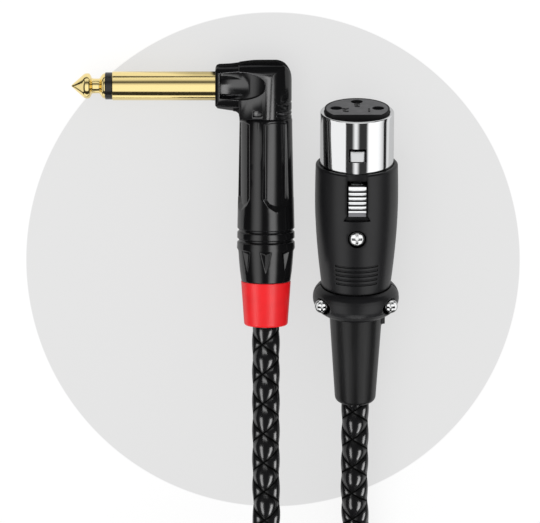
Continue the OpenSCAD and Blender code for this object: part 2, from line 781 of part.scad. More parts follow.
// End view of the elbow, Y to the right and Z up, with the upper corners round
module elbow_end() {
    r = elbow_corner_r;
    arc_z = elbow_top_z - r;
    polygon(concat(
        [[-elbow_half, joint_z], [elbow_half, joint_z]],
        [for (a = [0:10:90]) [elbow_half - r + r * cos(a), arc_z + r * sin(a)]],
        [for (a = [90:10:180]) [r - elbow_half + r * cos(a), arc_z + r * sin(a)]]
    ));
}

// The nose is round: before the barrel it keeps inside this shape
module elbow_nose_round() {
    gusset_w = 6;
    translate([-elbow_reach - over, 0, shaft_z]) rotate([0, 90, 0])
        cylinder(h = elbow_reach + over, r = elbow_nose_h / 2 + 1.1);
    translate([-elbow_half - 0.1, -elbow_half, joint_z - over]) cube([2 * elbow_d, elbow_d, 2 * elbow_d]);
    translate([-elbow_half - 1.4, -gusset_w / 2, joint_z - over]) cube([2, gusset_w, elbow_drop / 2]);
}

// The dish in a side of the nose: its floor curves out to the surface at the barrel's axis, and the
// half-round housing of the shaft is left standing in it
module elbow_dish(side) {
    start_x = -elbow_reach + 1;
    floor_y = elbow_half - dish_depth;
    run = elbow_reach - 2;
    floor_r = (run * run + dish_depth * dish_depth) / (2 * dish_depth);
    difference() {
        intersection() {
            translate([0, side > 0 ? elbow_d : 0, shaft_z + 0.4]) rotate([90, 0, 0])
                linear_extrude(elbow_d) polygon(concat(
                    [for (a = [-90:10:90]) [dish_round * (cos(a) - 1), dish_h / 2 * sin(a)]],
                    [[start_x, dish_h / 2 - 0.3], [start_x, 0.3 - dish_h / 2]]
                ));
            translate([-run, side * (floor_y + floor_r), shaft_z - dish_h])
                cylinder(h = 2 * dish_h, r = floor_r, $fn = 128);
        }
        translate([0, 0, shaft_z]) rod_x(sleeve_seat_r + fit + 0.85, -elbow_reach - over, 0);
    }
}

// The slot above the barrel in one side, with a round end
module elbow_slot(side) {
    slot_h = 1.3;
    slot_x = -1.35;
    deep = 0.8;
    translate([0, side > 0 ? elbow_half + over : deep - elbow_half, joint_z + slot_h])
        rotate([90, 0, 0]) linear_extrude(deep + over) {
            translate([slot_x, 0]) circle(d = slot_h);
            translate([slot_x - 1.5, -slot_h / 2]) square([1.5, slot_h]);
        }
}

module elbow_housing() {
    groove_span = 130;
    groove_heights = [0.75, 1.6, 3.5];
    color([0.07, 0.07, 0.07]) jack() difference() {
        union() {
            intersection() {
                translate([0, elbow_half + over, 0]) rotate([90, 0, 0])
                    linear_extrude(elbow_d + 2 * over) elbow_side();
                translate([0, 0, joint_z - over]) linear_extrude(2 * elbow_d) elbow_plan();
                translate([-2 * elbow_reach, 0, 0]) rotate([90, 0, 90])
                    linear_extrude(4 * elbow_reach) elbow_end();
                elbow_nose_round();
            }
            translate([0, 0, joint_z - 4]) cylinder(h = 4 + over, r = barrel_bore_d / 2 - fit);
        }
        translate([0, 0, joint_z - 4 - over]) cylinder(h = 4 + 2.8 + over, r = spigot_bore_r);
        translate([0, 0, joint_z + 1.8]) cylinder(h = elbow_top_z - 2 - joint_z - 1.8, r = cavity_r);
        on_shaft() translate([0, 0, -elbow_reach - over])
            cylinder(h = elbow_reach + over, r = sleeve_seat_r + fit);
        for (side = [-1, 1]) {
            elbow_dish(side);
            elbow_slot(side);
        }
        for (z = groove_heights)
            translate([0, 0, joint_z + z]) rotate_extrude(angle = groove_span, start = -groove_span / 2)
                translate([elbow_half, 0]) circle(r = 0.28, $fn = 16);
    }
}

// A recess with sloped walls and a pointed lower end. Its floor is round, about the barrel's axis.
module barrel_panel() {
    floor_half = 2.35;
    flare = 2.4;
    root = 0.4; // how far the walls run on below the floor
    floor_y = sqrt(panel_r * panel_r - floor_half * floor_half);
    mouth_y = barrel_d / 2 + 0.6;
    // The recess at its root and outside the barrel: half width, lower and upper end, place
    levels = [
        [floor_half - flare * root, panels_z + 3, joint_z - 1.5, root - floor_y],
        [floor_half + flare * (mouth_y - floor_y), panels_z - 1.1, joint_z + 0.3, -mouth_y]
    ];
    shoulder_z = panels_z + 3.1;
    outline = [[-1, -1], [-1, 1], [-0.45, 0.22], [0, 0], [0.45, 0.22], [1, 1], [1, -1]];
    count = len(outline);
    rings = [for (v = levels) for (p = outline)
        [p.x * v[0], v[3], p.y < 0 ? v[2] : v[1] + p.y * (shoulder_z - v[1])]];
    difference() {
        polyhedron(rings, concat(
            [[for (i = [0:count - 1]) i]],
            [[for (i = [count - 1:-1:0]) count + i]],
            [for (i = [0:count - 1]) let(j = (i + 1) % count) [j, i, count + i]],
            [for (i = [0:count - 1]) let(j = (i + 1) % count) [j, count + i, count + j]]
        ));
        cylinder(h = elbow_top_z, r = panel_r);
    }
}

// A notch with a sloped upper end, whose V-shaped valley runs out to a point
module barrel_notch() {
    least_wall = 0.75;
    top_lean = 1.4;
    outer_r = barrel_d / 2 + 0.6;
    low_r = barrel_end_d / 2 + 0.35;
    high_r = barrel_bore_d / 2 + least_wall;
    flare = notch_w / 2 / (barrel_d / 2 - high_r);
    low_w = flare * (outer_r - low_r);
    high_w = flare * (outer_r - high_r);
    top = notch_len + top_lean / 3;
    translate([0, 0, notch_z]) polyhedron(
        [[0, -low_r, 0], [-low_w, -outer_r, 0], [low_w, -outer_r, 0],
         [0, -high_r, top - top_lean], [-high_w, -outer_r, top], [high_w, -outer_r, top]],
        [[0, 1, 2], [3, 5, 4], [0, 3, 4, 1], [0, 2, 5, 3], [1, 4, 5, 2]]
    );
}

module barrel_shell() {
    color([0.07, 0.07, 0.07]) jack() difference() {
        rotate_extrude() polygon([
            [0, barrel_z], [barrel_end_d / 2 - 0.15, barrel_z], [barrel_end_d / 2, barrel_z + 0.15],
            [barrel_end_d / 2 + 0.32, barrel_z + 2.5], [barrel_d / 2 - 0.2, widest_z - 0.6],
            [barrel_d / 2, widest_z], [barrel_d / 2 - 0.05, widest_z + 1.2],
            [barrel_d / 2 - 0.1, widest_z + 5], [barrel_top_d / 2 + 0.15, joint_z - 8],
            [barrel_top_d / 2, joint_z - 0.4], [barrel_top_d / 2 - 0.2, joint_z], [0, joint_z]
        ]);
        translate([0, 0, barrel_z - over]) cylinder(h = barrel_len + 2 * over, d = barrel_bore_d);
        for (i = [0:panel_count - 1]) rotate([0, 0, panel_turn + 360 * i / panel_count]) barrel_panel();
        for (i = [0:notch_count - 1]) rotate([0, 0, 360 * i / notch_count]) barrel_notch();
        for (z = groove_z) translate([0, 0, z]) rotate_extrude()
            translate([barrel_d / 2, 0]) circle(r = 0.42, $fn = 16);
    }
}

module red_ring() {
    end_r = red_end_d / 2;
    neck_r = barrel_bore_d / 2 - fit;
    neck_top = barrel_z + 2;
    color("red") jack() difference() {
        rotate_extrude() polygon(concat(
            [[0, 0]],
            [for (a = [-90:15:0])
                [end_r - red_round + red_round * cos(a), red_round + red_round * sin(a)]],
            [[red_top_d / 2, red_len], [neck_r, red_len], [neck_r, neck_top], [0, neck_top]]
        ));
        translate([0, 0, -over]) cylinder(h = neck_top + 2 * over, d = cable_d + 2 * fit);
    }
}

module cable_chuck() {
    base_z = barrel_z + 2 + fit;
    slit = 0.6;
    color("ivory") jack() difference() {
        bush(barrel_bore_d / 2 - fit, cable_d / 2 + fit, base_z, base_z + chuck_len);
        for (a = [0, 90]) rotate([0, 0, a])
            translate([-barrel_d / 2, -slit / 2, base_z + 2]) cube([barrel_d, slit, chuck_len]);
    }
}

module insulating_liner() {
    color([0.9, 0.9, 0.85]) jack() bush(barrel_bore_d / 2 - fit, barrel_bore_d / 2 - 0.5,
        barrel_z + 2 + 2 * fit + chuck_len, joint_z - 4 - fit);
}

// A solder lug: an eye on the shaft's axis and a strip down to z1 in the barrel
module lug(x, hole_r, z1) {
    difference() {
        union() {
            translate([0, 0, shaft_z]) rod_x(hole_r + lug_rim, x, x + lug_t);
            translate([x, -lug_w / 2, z1]) cube([lug_t, lug_w, shaft_z - z1]);
        }
        translate([0, 0, shaft_z]) rod_x(hole_r, x - over, x + lug_t + over);
    }
}

module tip_lug() {
    color("gold") jack() lug(tip_lug_x, rod_d / 2 + fit, lug_end);
}

module sleeve_lug() {
    color("gold") jack() lug(-sleeve_back, bush_d / 2 + fit, lug_end - lug_step);
}

module jack_cable_end() {
    color([0.2, 0.2, 0.2]) jack() cylinder(h = jack_end_top, d = cable_d);
}

// A core from the cable's end at x0 to the inner face of a lug at x1, where it ends at the height z1
module jack_core(x0, x1, z1, core_diameter) {
    foot = jack_end_top + fit;
    reach = x1 + lug_t + fit + core_diameter / 2;
    route = [for (i = [0:6]) let(s = i / 6, ease = s * s * (3 - 2 * s))
        [x0 + (reach - x0) * ease, 0, foot + (z1 - foot) * s]];
    jack() tube(route, core_diameter, 8, [0, 1, 0]);
}

module jack_core_hot() {
    color("red") jack_core(1, tip_lug_x, lug_end + 3, core_d);
}

module jack_screen() {
    color("tan") jack_core(-1.8, -sleeve_back, lug_end - lug_step + 3, screen_d);
}

// ---- cable ----

module cable_run_xlr() {
    color([0.15, 0.15, 0.15]) tube(xlr_route, cable_d, 8);
}

module cable_coil() {
    color([0.15, 0.15, 0.15]) tube(coil_path, cable_d, 6);
}

module cable_run_jack() {
    color([0.15, 0.15, 0.15]) tube(jack_route, cable_d, 8);
}

// A rectangle from the origin, with round corners
module round_slab(size, r) {
    translate([r, 0]) square([size.x - 2 * r, size.y]);
    translate([0, r]) square([size.x, size.y - 2 * r]);
    for (x = [r, size.x - r]) for (y = [r, size.y - r]) translate([x, y]) circle(r = r);
}

module coil_tie() {
    span = tie_outer_r - tie_inner_r;
    color([0.08, 0.08, 0.08])
        translate([coil_centre.x - tie_w / 2, coil_centre.y - tie_outer_r - tie_t, 0])
            rotate([90, 0, 90]) linear_extrude(tie_w) difference() {
                round_slab([span + 2 * tie_t, tie_height + 2 * tie_t], tie_round + tie_t);
                translate([tie_t, tie_t]) round_slab([span, tie_height], tie_round);
            }
}

xlr_shell();
socket_insert();
contact_1();
contact_2();
contact_3();
latch_lever();
latch_pin();
latch_spring();
handle_housing();
insert_screw();
clamp_top();
clamp_base();
clamp_screws();
xlr_boot();
xlr_cable_end();
xlr_core_hot();
xlr_core_cold();
xlr_screen();
plug_tip();
tip_insulator();
plug_sleeve();
elbow_housing();
barrel_shell();
red_ring();
cable_chuck();
insulating_liner();
tip_lug();
sleeve_lug();
jack_cable_end();
jack_core_hot();
jack_screen();
cable_run_xlr();
cable_coil();
cable_run_jack();
coil_tie();
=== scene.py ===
import math

import bmesh
import bpy
import numpy as np
from mathutils import Matrix, Vector


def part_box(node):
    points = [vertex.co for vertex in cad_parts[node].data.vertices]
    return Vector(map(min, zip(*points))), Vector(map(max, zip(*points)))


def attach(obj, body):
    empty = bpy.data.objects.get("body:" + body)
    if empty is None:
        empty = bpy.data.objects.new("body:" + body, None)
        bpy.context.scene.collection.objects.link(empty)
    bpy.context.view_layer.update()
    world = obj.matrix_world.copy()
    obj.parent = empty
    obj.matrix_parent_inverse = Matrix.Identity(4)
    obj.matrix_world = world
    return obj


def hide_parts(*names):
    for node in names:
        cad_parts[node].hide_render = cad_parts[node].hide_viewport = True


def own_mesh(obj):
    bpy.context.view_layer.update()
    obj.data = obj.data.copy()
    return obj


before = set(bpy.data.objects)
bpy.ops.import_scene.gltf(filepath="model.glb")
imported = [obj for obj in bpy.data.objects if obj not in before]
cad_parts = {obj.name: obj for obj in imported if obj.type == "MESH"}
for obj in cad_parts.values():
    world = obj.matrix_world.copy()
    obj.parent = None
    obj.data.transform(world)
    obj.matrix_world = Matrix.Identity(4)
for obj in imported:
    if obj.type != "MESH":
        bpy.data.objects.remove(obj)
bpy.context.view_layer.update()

mm = 0.001

# ---- Camera ----
# A long lens a metre away, leaning 20 degrees from straight above towards the connectors' fronts, so
# that both lie side by side and the XLR connector's face is seen. The cable leaves below the frame.
scene = bpy.context.scene
scene.view_settings.view_transform = "Standard"
camera_lean = math.radians(20)
camera_aim = Vector((7.4 * mm, -6.9 * mm, 8 * mm))
camera_distance = 1.0
camera_data = bpy.data.cameras.new("studio_camera")
camera_data.sensor_width = 36
camera_data.lens = 300
camera_data.clip_start = 0.05
camera_data.clip_end = 20
camera = bpy.data.objects.new("studio_camera", camera_data)
camera.rotation_euler = (-camera_lean, 0, 0)
camera.location = camera_aim + camera_distance * Vector((0, math.sin(camera_lean), math.cos(camera_lean)))
scene.collection.objects.link(camera)
scene.camera = camera


# ---- Studio ----
# A white table top with a pale grey disc on it, in an evenly lit white room. Long soft boxes stand
# round the lead, each set to show in the pieces that it is named for.
def from_hex(text):
    """An sRGB hex value as a linear colour."""
    shares = [int(text[i:i + 2], 16) / 255 for i in (0, 2, 4)]
    return [c / 12.92 if c <= 0.04045 else ((c + 0.055) / 1.055) ** 2.4 for c in shares] + [1.0]


def add_node(tree, kind, settings=None, **inputs):
    """Adds a node with its settings. Each input is a value or a link: _0 is the first, or its name."""
    node = tree.nodes.new(kind)
    for name, value in (settings or {}).items():
        setattr(node, name, value)
    for name, value in inputs.items():
        socket = node.inputs[int(name[1:])] if name[0] == "_" else node.inputs[name.replace("_", " ")]
        if isinstance(value, bpy.types.NodeSocket):
            tree.links.new(value, socket)
        else:
            socket.default_value = value
    return node


white = from_hex("ffffff")
room = bpy.data.worlds.new("white_room")
room.use_nodes = True
scene.world = room
tree = room.node_tree
tree.nodes.clear()
ray = add_node(tree, "ShaderNodeLightPath")
fill = add_node(tree, "ShaderNodeBackground", Color=white, Strength=0.60)
gloss = add_node(tree, "ShaderNodeBackground", Color=white, Strength=0.035)
seen = add_node(tree, "ShaderNodeBackground", Color=white, Strength=1.0)
lit = add_node(tree, "ShaderNodeMixShader", _0=ray.outputs["Is Glossy Ray"],
               _1=fill.outputs[0], _2=gloss.outputs[0])
shown = add_node(tree, "ShaderNodeMixShader", _0=ray.outputs["Is Camera Ray"],
                 _1=lit.outputs[0], _2=seen.outputs[0])
add_node(tree, "ShaderNodeOutputWorld", Surface=shown.outputs[0])


def soft_box(name, low, high, brightness, fade=(0.1, 0.1), run="Y", length=1.0, slide=-0.2):
    """A soft box along X or Y that spans two angles from straight above, and fades out over a share
    of its width at each. It lights only the pieces that show_in adds to it, or else everything."""
    over_x, over_y, distance = 0.016, 0.03, 0.6
    middle, half = math.radians((low + high) / 2), math.radians((high - low) / 2)
    width = 2 * distance * math.tan(half)
    lamp = bpy.data.lights.new(name, "AREA")
    lamp.shape = "RECTANGLE"
    lamp.size, lamp.size_y = (width, length) if run == "Y" else (length, width)
    lamp.energy = brightness * math.pi * width * length
    lamp.use_nodes = True
    tree = lamp.node_tree
    on_box = add_node(tree, "ShaderNodeTexCoord").outputs["UV"]
    across = add_node(tree, "ShaderNodeSeparateXYZ", Vector=on_box).outputs["X" if run == "Y" else "Y"]
    smooth = {"interpolation_type": "SMOOTHSTEP"}
    from_low = add_node(tree, "ShaderNodeMapRange", smooth, Value=across, From_Max=fade[0])
    from_high = add_node(tree, "ShaderNodeMapRange", smooth, Value=across,
                         From_Min=1.0, From_Max=1.0 - fade[1])
    cloth = add_node(tree, "ShaderNodeMath", {"operation": "MULTIPLY"},
                     _0=from_low.outputs[0], _1=from_high.outputs[0])
    tree.links.new(cloth.outputs[0], tree.nodes["Emission"].inputs["Strength"])
    box = bpy.data.objects.new(name, lamp)
    if run == "Y":
        box.location = (over_x + distance * math.sin(middle), slide, distance * math.cos(middle))
        box.rotation_euler = (0, middle, 0)
    else:
        box.location = (slide, over_y + distance * math.sin(middle), distance * math.cos(middle))
        box.rotation_euler = (-middle, 0, 0)
    box.visible_camera = False
    scene.collection.objects.link(box)
    return box


def show_in(piece, *boxes):
    """These soft boxes light this piece."""
    for box in boxes:
        if box.light_linking.receiver_collection is None:
            box.light_linking.receiver_collection = bpy.data.collections.new(box.name + "_lights")
        box.light_linking.receiver_collection.objects.link(piece)


# The ceiling box lights everything and is mirrored in nothing. Each of the others is mirrored as one
# pale stripe in its own pieces: wide ones in chrome and gold, narrow bright ones in the black gloss.
ceiling_box = soft_box("ceiling_box", -40, 0, 0.9, length=0.5, slide=0.1)
ceiling_box.visible_glossy = False
chrome_boxes = [soft_box("chrome_left_box", -93, -33, 0.9, (0.1, 0.06)),
                soft_box("chrome_middle_box", -16, 10, 0.88, (0.48, 0.48)),
                soft_box("chrome_right_box", 28, 106, 1.1, (0.16, 0.55)),
                soft_box("chrome_lip_box", 28, 84, 0.95, (0.2, 0.2), run="X", slide=0.026)]
button_boxes = [soft_box("button_box", -34, 34, 1.25, (0.1, 0.1), length=0.7, slide=-0.3)]
shell_boxes = [soft_box("shell_left_box", -66, -12, 1.7, (0.5, 0.4)),
               soft_box("shell_right_box", 6, 50, 3.2, (0.35, 0.4))]
elbow_boxes = [soft_box("elbow_left_box", -66, -30, 1.6, (0.5, 0.4)),
               soft_box("elbow_strip_box", 2, 13, 6.0, (0.2, 0.2)),
               soft_box("elbow_middle_box", 17, 34, 5.5, (0.2, 0.3)),
               soft_box("elbow_nose_box", -4, 58, 2.6, (0.3, 0.4), run="X", length=0.3, slide=-0.1)]
sheath_boxes = [soft_box("sheath_left_box", -62, -22, 8.0, (0.4, 0.4), length=0.8, slide=-0.42),
                soft_box("sheath_right_box", 40, 78, 10.0, (0.4, 0.3), length=0.9, slide=-0.56),
                soft_box("sheath_top_box", 26, 56, 6.0, (0.4, 0.4), run="X", length=0.6, slide=0.0)]
handle_boxes = [soft_box("handle_left_box", -76, -14, 0.9, (0.4, 0.3)),
                soft_box("handle_right_box", 8, 78, 0.9, (0.3, 0.4))]
ring_boxes = [soft_box("ring_left_box", -68, -36, 3.4, (0.4, 0.4)),
              soft_box("ring_right_box", 10, 46, 3.6, (0.3, 0.4))]
collar_box = soft_box("collar_box", -82, -62, 2.5, (0.4, 0.4), run="X", length=0.3, slide=0.026)
gold_boxes = [soft_box("gold_top_box", -34, 49, 1.15, (0.14, 0.4), run="X", slide=-0.02),
              soft_box("gold_front_box", -104, -63, 1.2, (0.15, 0.15), run="X", slide=-0.02),
              soft_box("gold_back_box", 46, 113, 0.95, (0.45, 0.15), run="X", slide=-0.02)]
# The plug's pointed tip faces away from the gold boxes, so one more stands beyond its point.
tip_box = soft_box("tip_box", -98, -58, 0.95, (0.1, 0.5), length=0.8, slide=0.06)

table = bpy.data.objects.new("table_top", bpy.data.meshes.new("table_top"))
bm = bmesh.new()
bmesh.ops.create_grid(bm, x_segments=1, y_segments=1, size=3)
bmesh.ops.translate(bm, verts=bm.verts, vec=(0, 0, -0.1 * mm))
bm.to_mesh(table.data)
bm.free()
scene.collection.objects.link(table)

# Flat paint on board, white with the disc in pale grey: an even ground with the lead's soft shadow.
table_paint = bpy.data.materials.new("white_table_paint_with_a_grey_disc")
table_paint.use_nodes = True
tree = table_paint.node_tree
tree.nodes.clear()
on_table = add_node(tree, "ShaderNodeTexCoord").outputs["Object"]
disc_x, disc_y, disc_across, disc_along = 8.07, -10.5, 55.3, 58.9
place = add_node(tree, "ShaderNodeMapping", Vector=on_table,
                 Location=(-disc_x / disc_across, -disc_y / disc_along, 0),
                 Scale=(1 / (disc_across * mm), 1 / (disc_along * mm), 0))
radius = add_node(tree, "ShaderNodeVectorMath", {"operation": "LENGTH"}, _0=place.outputs[0])
radius = radius.outputs["Value"]
inside = add_node(tree, "ShaderNodeMapRange", Value=radius, From_Min=0.998, From_Max=1.002)
tone = add_node(tree, "ShaderNodeMix", {"data_type": "RGBA"}, _0=inside.outputs[0],
                _6=from_hex("e4e4e4"), _7=white)
ray = add_node(tree, "ShaderNodeLightPath")
matt = add_node(tree, "ShaderNodeBsdfDiffuse", Color=tone.outputs[2])
glow = add_node(tree, "ShaderNodeEmission", Color=tone.outputs[2], Strength=1.155)
camera_share = add_node(tree, "ShaderNodeMath", {"operation": "MULTIPLY"},
                        _0=ray.outputs["Is Camera Ray"], _1=0.7)
seen = add_node(tree, "ShaderNodeMixShader", _0=camera_share.outputs[0],
                _1=matt.outputs[0], _2=glow.outputs[0])
# Metal and gloss mirror it as a painted reflection: brighter under the gold shaft, and black well past the
# disc.
side = add_node(tree, "ShaderNodeSeparateXYZ", Vector=on_table)
side = add_node(tree, "ShaderNodeMapRange", Value=side.outputs["X"], From_Min=-16 * mm, From_Max=-10 * mm,
                To_Min=1.25, To_Max=0.78)
near = add_node(tree, "ShaderNodeMapRange", {"interpolation_type": "SMOOTHSTEP"}, Value=radius,
                From_Min=1.7, From_Max=1.3)
dark_reflection = add_node(tree, "ShaderNodeEmission", Color=white, Strength=0.02)
mirrored = add_node(tree, "ShaderNodeEmission", Color=tone.outputs[2], Strength=side.outputs[0])
mirrored = add_node(tree, "ShaderNodeMixShader", _0=0.6, _1=matt.outputs[0], _2=mirrored.outputs[0])
mirrored = add_node(tree, "ShaderNodeMixShader", _0=near.outputs[0],
                    _1=dark_reflection.outputs[0], _2=mirrored.outputs[0])
# Under the jack's elbow too, its reflection is painted black.
dark_patch_x, dark_patch_y, dark_patch_across, dark_patch_along = 3.8, 41, 9.7, 19
under = add_node(tree, "ShaderNodeMapping", Vector=on_table,
                 Location=(-dark_patch_x / dark_patch_across, -dark_patch_y / dark_patch_along, 0),
                 Scale=(1 / (dark_patch_across * mm), 1 / (dark_patch_along * mm), 0))
under = add_node(tree, "ShaderNodeVectorMath", {"operation": "ABSOLUTE"}, _0=under.outputs[0])
under = add_node(tree, "ShaderNodeSeparateXYZ", Vector=under.outputs[0])
under = add_node(tree, "ShaderNodeMath", {"operation": "MAXIMUM"},
                 _0=under.outputs["X"], _1=under.outputs["Y"])
under = add_node(tree, "ShaderNodeMapRange", Value=under.outputs[0], From_Min=0.92, From_Max=1.0)
mirrored = add_node(tree, "ShaderNodeMixShader", _0=under.outputs[0],
                    _1=dark_reflection.outputs[0], _2=mirrored.outputs[0])
shown = add_node(tree, "ShaderNodeMixShader", _0=ray.outputs["Is Glossy Ray"],
                 _1=seen.outputs[0], _2=mirrored.outputs[0])
add_node(tree, "ShaderNodeOutputMaterial", Surface=shown.outputs[0])
table.data.materials.append(table_paint)

# ---- Cable ----
# A 6.2 mm microphone cable, two metres long, with a glossy PVC sheath embossed in puffed diamonds
# where its helices of grooves cross. It leaves both connectors and is wound into a coil of four
# layers, held by a hook-and-loop tie.
cable_d = 6.2
straight = 2 * cable_d
coil_centre = (6.5, -136.0)
coil_turns = 8.6667
coil_layers = 4
turns_per_layer = coil_turns / coil_layers
coil_step = cable_d + 0.5
coil_mean_r = 33.4
coil_outer_r = coil_mean_r + turns_per_layer * coil_step / 2
coil_inner_r = coil_outer_r - turns_per_layer * coil_step
coil_floor = cable_d / 2 + 1.05
coil_from = 20
climb_turns = 0.5


def coil_place(t):
    """Centre of the cable after t turns of the coil."""
    layer = math.floor(t / turns_per_layer)
    done = t / turns_per_layer - layer
    r = coil_outer_r - (coil_outer_r - coil_inner_r) * (done if layer % 2 == 0 else 1 - done)
    climbs = [(t - k * turns_per_layer) / climb_turns + 0.5 for k in range(1, coil_layers)]
    z = coil_floor + coil_step * sum(min(1, max(0, climb)) for climb in climbs)
    a = math.radians(coil_from - 360 * t)
    return Vector((coil_centre[0] + r * math.cos(a), coil_centre[1] + r * math.sin(a), z))


def coil_heading(t):
    """The way the cable runs after t turns of the coil."""
    a = math.radians(coil_from - 360 * t)
    return Vector((math.sin(a), -math.cos(a), 0))


coil_start = coil_place(0) - cable_d * coil_heading(0)
coil_finish = coil_place(coil_turns) + cable_d * coil_heading(coil_turns)
jack_exit = Vector((6.5, -18.5, 17.1334))
jack_tilt = math.radians(12)
jack_way = Vector((0, -math.cos(jack_tilt), math.sin(jack_tilt)))
xlr_exit = Vector((26.5, -39.4, 9.6))
places_per_turn = 24
coil_places = round(coil_turns * places_per_turn)
route = [xlr_exit, xlr_exit - Vector((0, straight, 0))]
route += [Vector(p) for p in [(26.5, -63, 8.6), (27.4, -74, 6.8), (31, -85, 5.4), (35.3, -97, 4.6)]]
route += [coil_start - straight * coil_heading(0), coil_start]
route += [coil_place(coil_turns * i / coil_places) for i in range(coil_places + 1)]
route += [coil_finish, coil_finish + straight * coil_heading(coil_turns)]
route += [Vector(p) for p in [(-6, -87.9, 24.3), (0, -80.7, 24.3), (4.8, -72.4, 24.2), (6.5, -63, 24),
                              (6.5, -53, 23.2), (6.5, -42, 21.8)]]
route += [jack_exit + straight * jack_way, jack_exit]


def smooth_line(points, steps):
    """A smooth line through points, with a number of steps from each to the next."""
    p = [2 * points[0] - points[1]] + list(points) + [2 * points[-1] - points[-2]]
    line = []
    for i in range(1, len(p) - 2):
        for k in range(steps):
            t = k / steps
            line.append(0.5 * (2 * p[i] + (p[i + 1] - p[i - 1]) * t
                               + (2 * p[i - 1] - 5 * p[i] + 4 * p[i + 1] - p[i + 2]) * t * t
                               + (3 * p[i] - p[i - 1] - 3 * p[i + 1] + p[i + 2]) * t ** 3))
    return line + [points[-1].copy()]


def ring_step(at, whole):
    """Step between the cable's rings. They stand closer in the two ends, which are seen from nearest."""
    fine, coarse, xlr_end, jack_end = 0.36, 0.86, 42, 62
    return fine if at < xlr_end or at > whole - jack_end else coarse


def walk(line, step_at):
    """The line cut again: step_at(distance, whole length) is the step there. Also the distances."""
    walked = [0.0]
    for a, b in zip(line, line[1:]):
        walked.append(walked[-1] + (b - a).length)
    points, distances, at, i = [line[0].copy()], [0.0], 0.0, 0
    while True:
        step = step_at(at, walked[-1])
        at += step
        if at > walked[-1] - step / 2:
            break
        while walked[i + 1] < at:
            i += 1
        points.append(line[i].lerp(line[i + 1], (at - walked[i]) / (walked[i + 1] - walked[i])))
        distances.append(at)
    return points + [line[-1].copy()], distances + [walked[-1]]


cable_line, distances = walk(smooth_line(route, 40), ring_step)
cable_sides = 32
curve = bpy.data.curves.new("cable_line", "CURVE")
curve.dimensions = "3D"
curve.bevel_depth = cable_d / 2 * mm
curve.bevel_resolution = (cable_sides - 4) // 2
spline = curve.splines.new("POLY")
spline.points.add(len(cable_line) - 1)
for point, p in zip(spline.points, cable_line):
    point.co = (*(p * mm), 1)
line_object = bpy.data.objects.new("cable_line", curve)
scene.collection.objects.link(line_object)
bpy.context.view_layer.update()
cable = bpy.data.objects.new("quilted_cable", bpy.data.meshes.new_from_object(line_object))
scene.collection.objects.link(cable)
bpy.data.objects.remove(line_object)

# Two helices of grooves run each way, so four columns of diamonds stand round the cable. It twists a
# tenth of a turn on its way through the coil, and untwists a little in the last stretch before the jack.
cell_len = 6.6
first_cell = 0.73
groove_depth = 0.26
last_stretch = 60
cells = first_cell + np.array(distances) / cell_len
drift = np.interp(distances, [0, distances[-1] - last_stretch, distances[-1]], [0, 0.094, 0.055])
ring_cells = np.repeat(cells, cable_sides)
turn = np.tile(np.arange(cable_sides) / cable_sides, len(cable_line)) - np.repeat(drift, cable_sides)
puff = np.abs(np.cos(np.pi * (ring_cells + 2 * turn)) * np.cos(np.pi * (ring_cells - 2 * turn)))
co = np.empty(len(cable.data.vertices) * 3)
cable.data.vertices.foreach_get("co", co)
co = co.reshape(-1, 3)
centres = np.repeat(np.array([list(p * mm) for p in cable_line]), cable_sides, axis=0)
co = centres + (co - centres) * (1 - groove_depth / (cable_d / 2) * (1 - puff ** 0.5))[:, None]
cable.data.vertices.foreach_set("co", co.ravel())
cable.data.polygons.foreach_set("use_smooth", [True] * len(cable.data.polygons))

# The map runs along the cable in cells and round it in turns.
sheath_map = cable.data.uv_layers.new(name="sheath")
corner = np.empty(len(cable.data.loops), int)
cable.data.loops.foreach_get("vertex_index", corner)
round_share = (corner % cable_sides) / cable_sides
face_corners = np.arange(len(corner)).reshape(-1, 4)
face_share = round_share[face_corners]
face_share[(face_share.max(1) - face_share.min(1) > 0.5)[:, None] & (face_share == 0)] = 1.0
ring = corner // cable_sides
sheath_map.data.foreach_set("uv", np.stack([cells[ring], face_share.ravel() - drift[ring]], 1).ravel())
bm = bmesh.new()
bm.from_mesh(cable.data)
bmesh.ops.holes_fill(bm, edges=[e for e in bm.edges if e.is_boundary])
bm.to_mesh(cable.data)
bm.free()


def start_material(name, colour, roughness, metallic=0.0, ior=1.5):
    """A new material, with its tree and its main shader set. A metal keeps the default IOR."""
    material = bpy.data.materials.new(name)
    material.use_nodes = True
    shader = material.node_tree.nodes["Principled BSDF"]
    shader.inputs["Base Color"].default_value = from_hex(colour)
    shader.inputs["Roughness"].default_value = roughness
    shader.inputs["Metallic"].default_value = metallic
    shader.inputs["IOR"].default_value = ior
    return material, material.node_tree, shader


def fill_ramp(ramp_node, *stops):
    """Gives a colour ramp its stops, each a place and an sRGB hex value."""
    ramp = ramp_node.color_ramp
    while len(ramp.elements) > 1:
        ramp.elements.remove(ramp.elements[-1])
    for i, (stop, colour) in enumerate(stops):
        element = ramp.elements[0] if i == 0 else ramp.elements.new(stop)
        element.position = stop
        element.color = from_hex(colour)
    return ramp_node


def feed(shader, **outputs):
    """Links outputs to a shader's inputs, each by its name with _ for a space."""
    for name, output in outputs.items():
        shader.id_data.links.new(output, shader.inputs[name.replace("_", " ")])
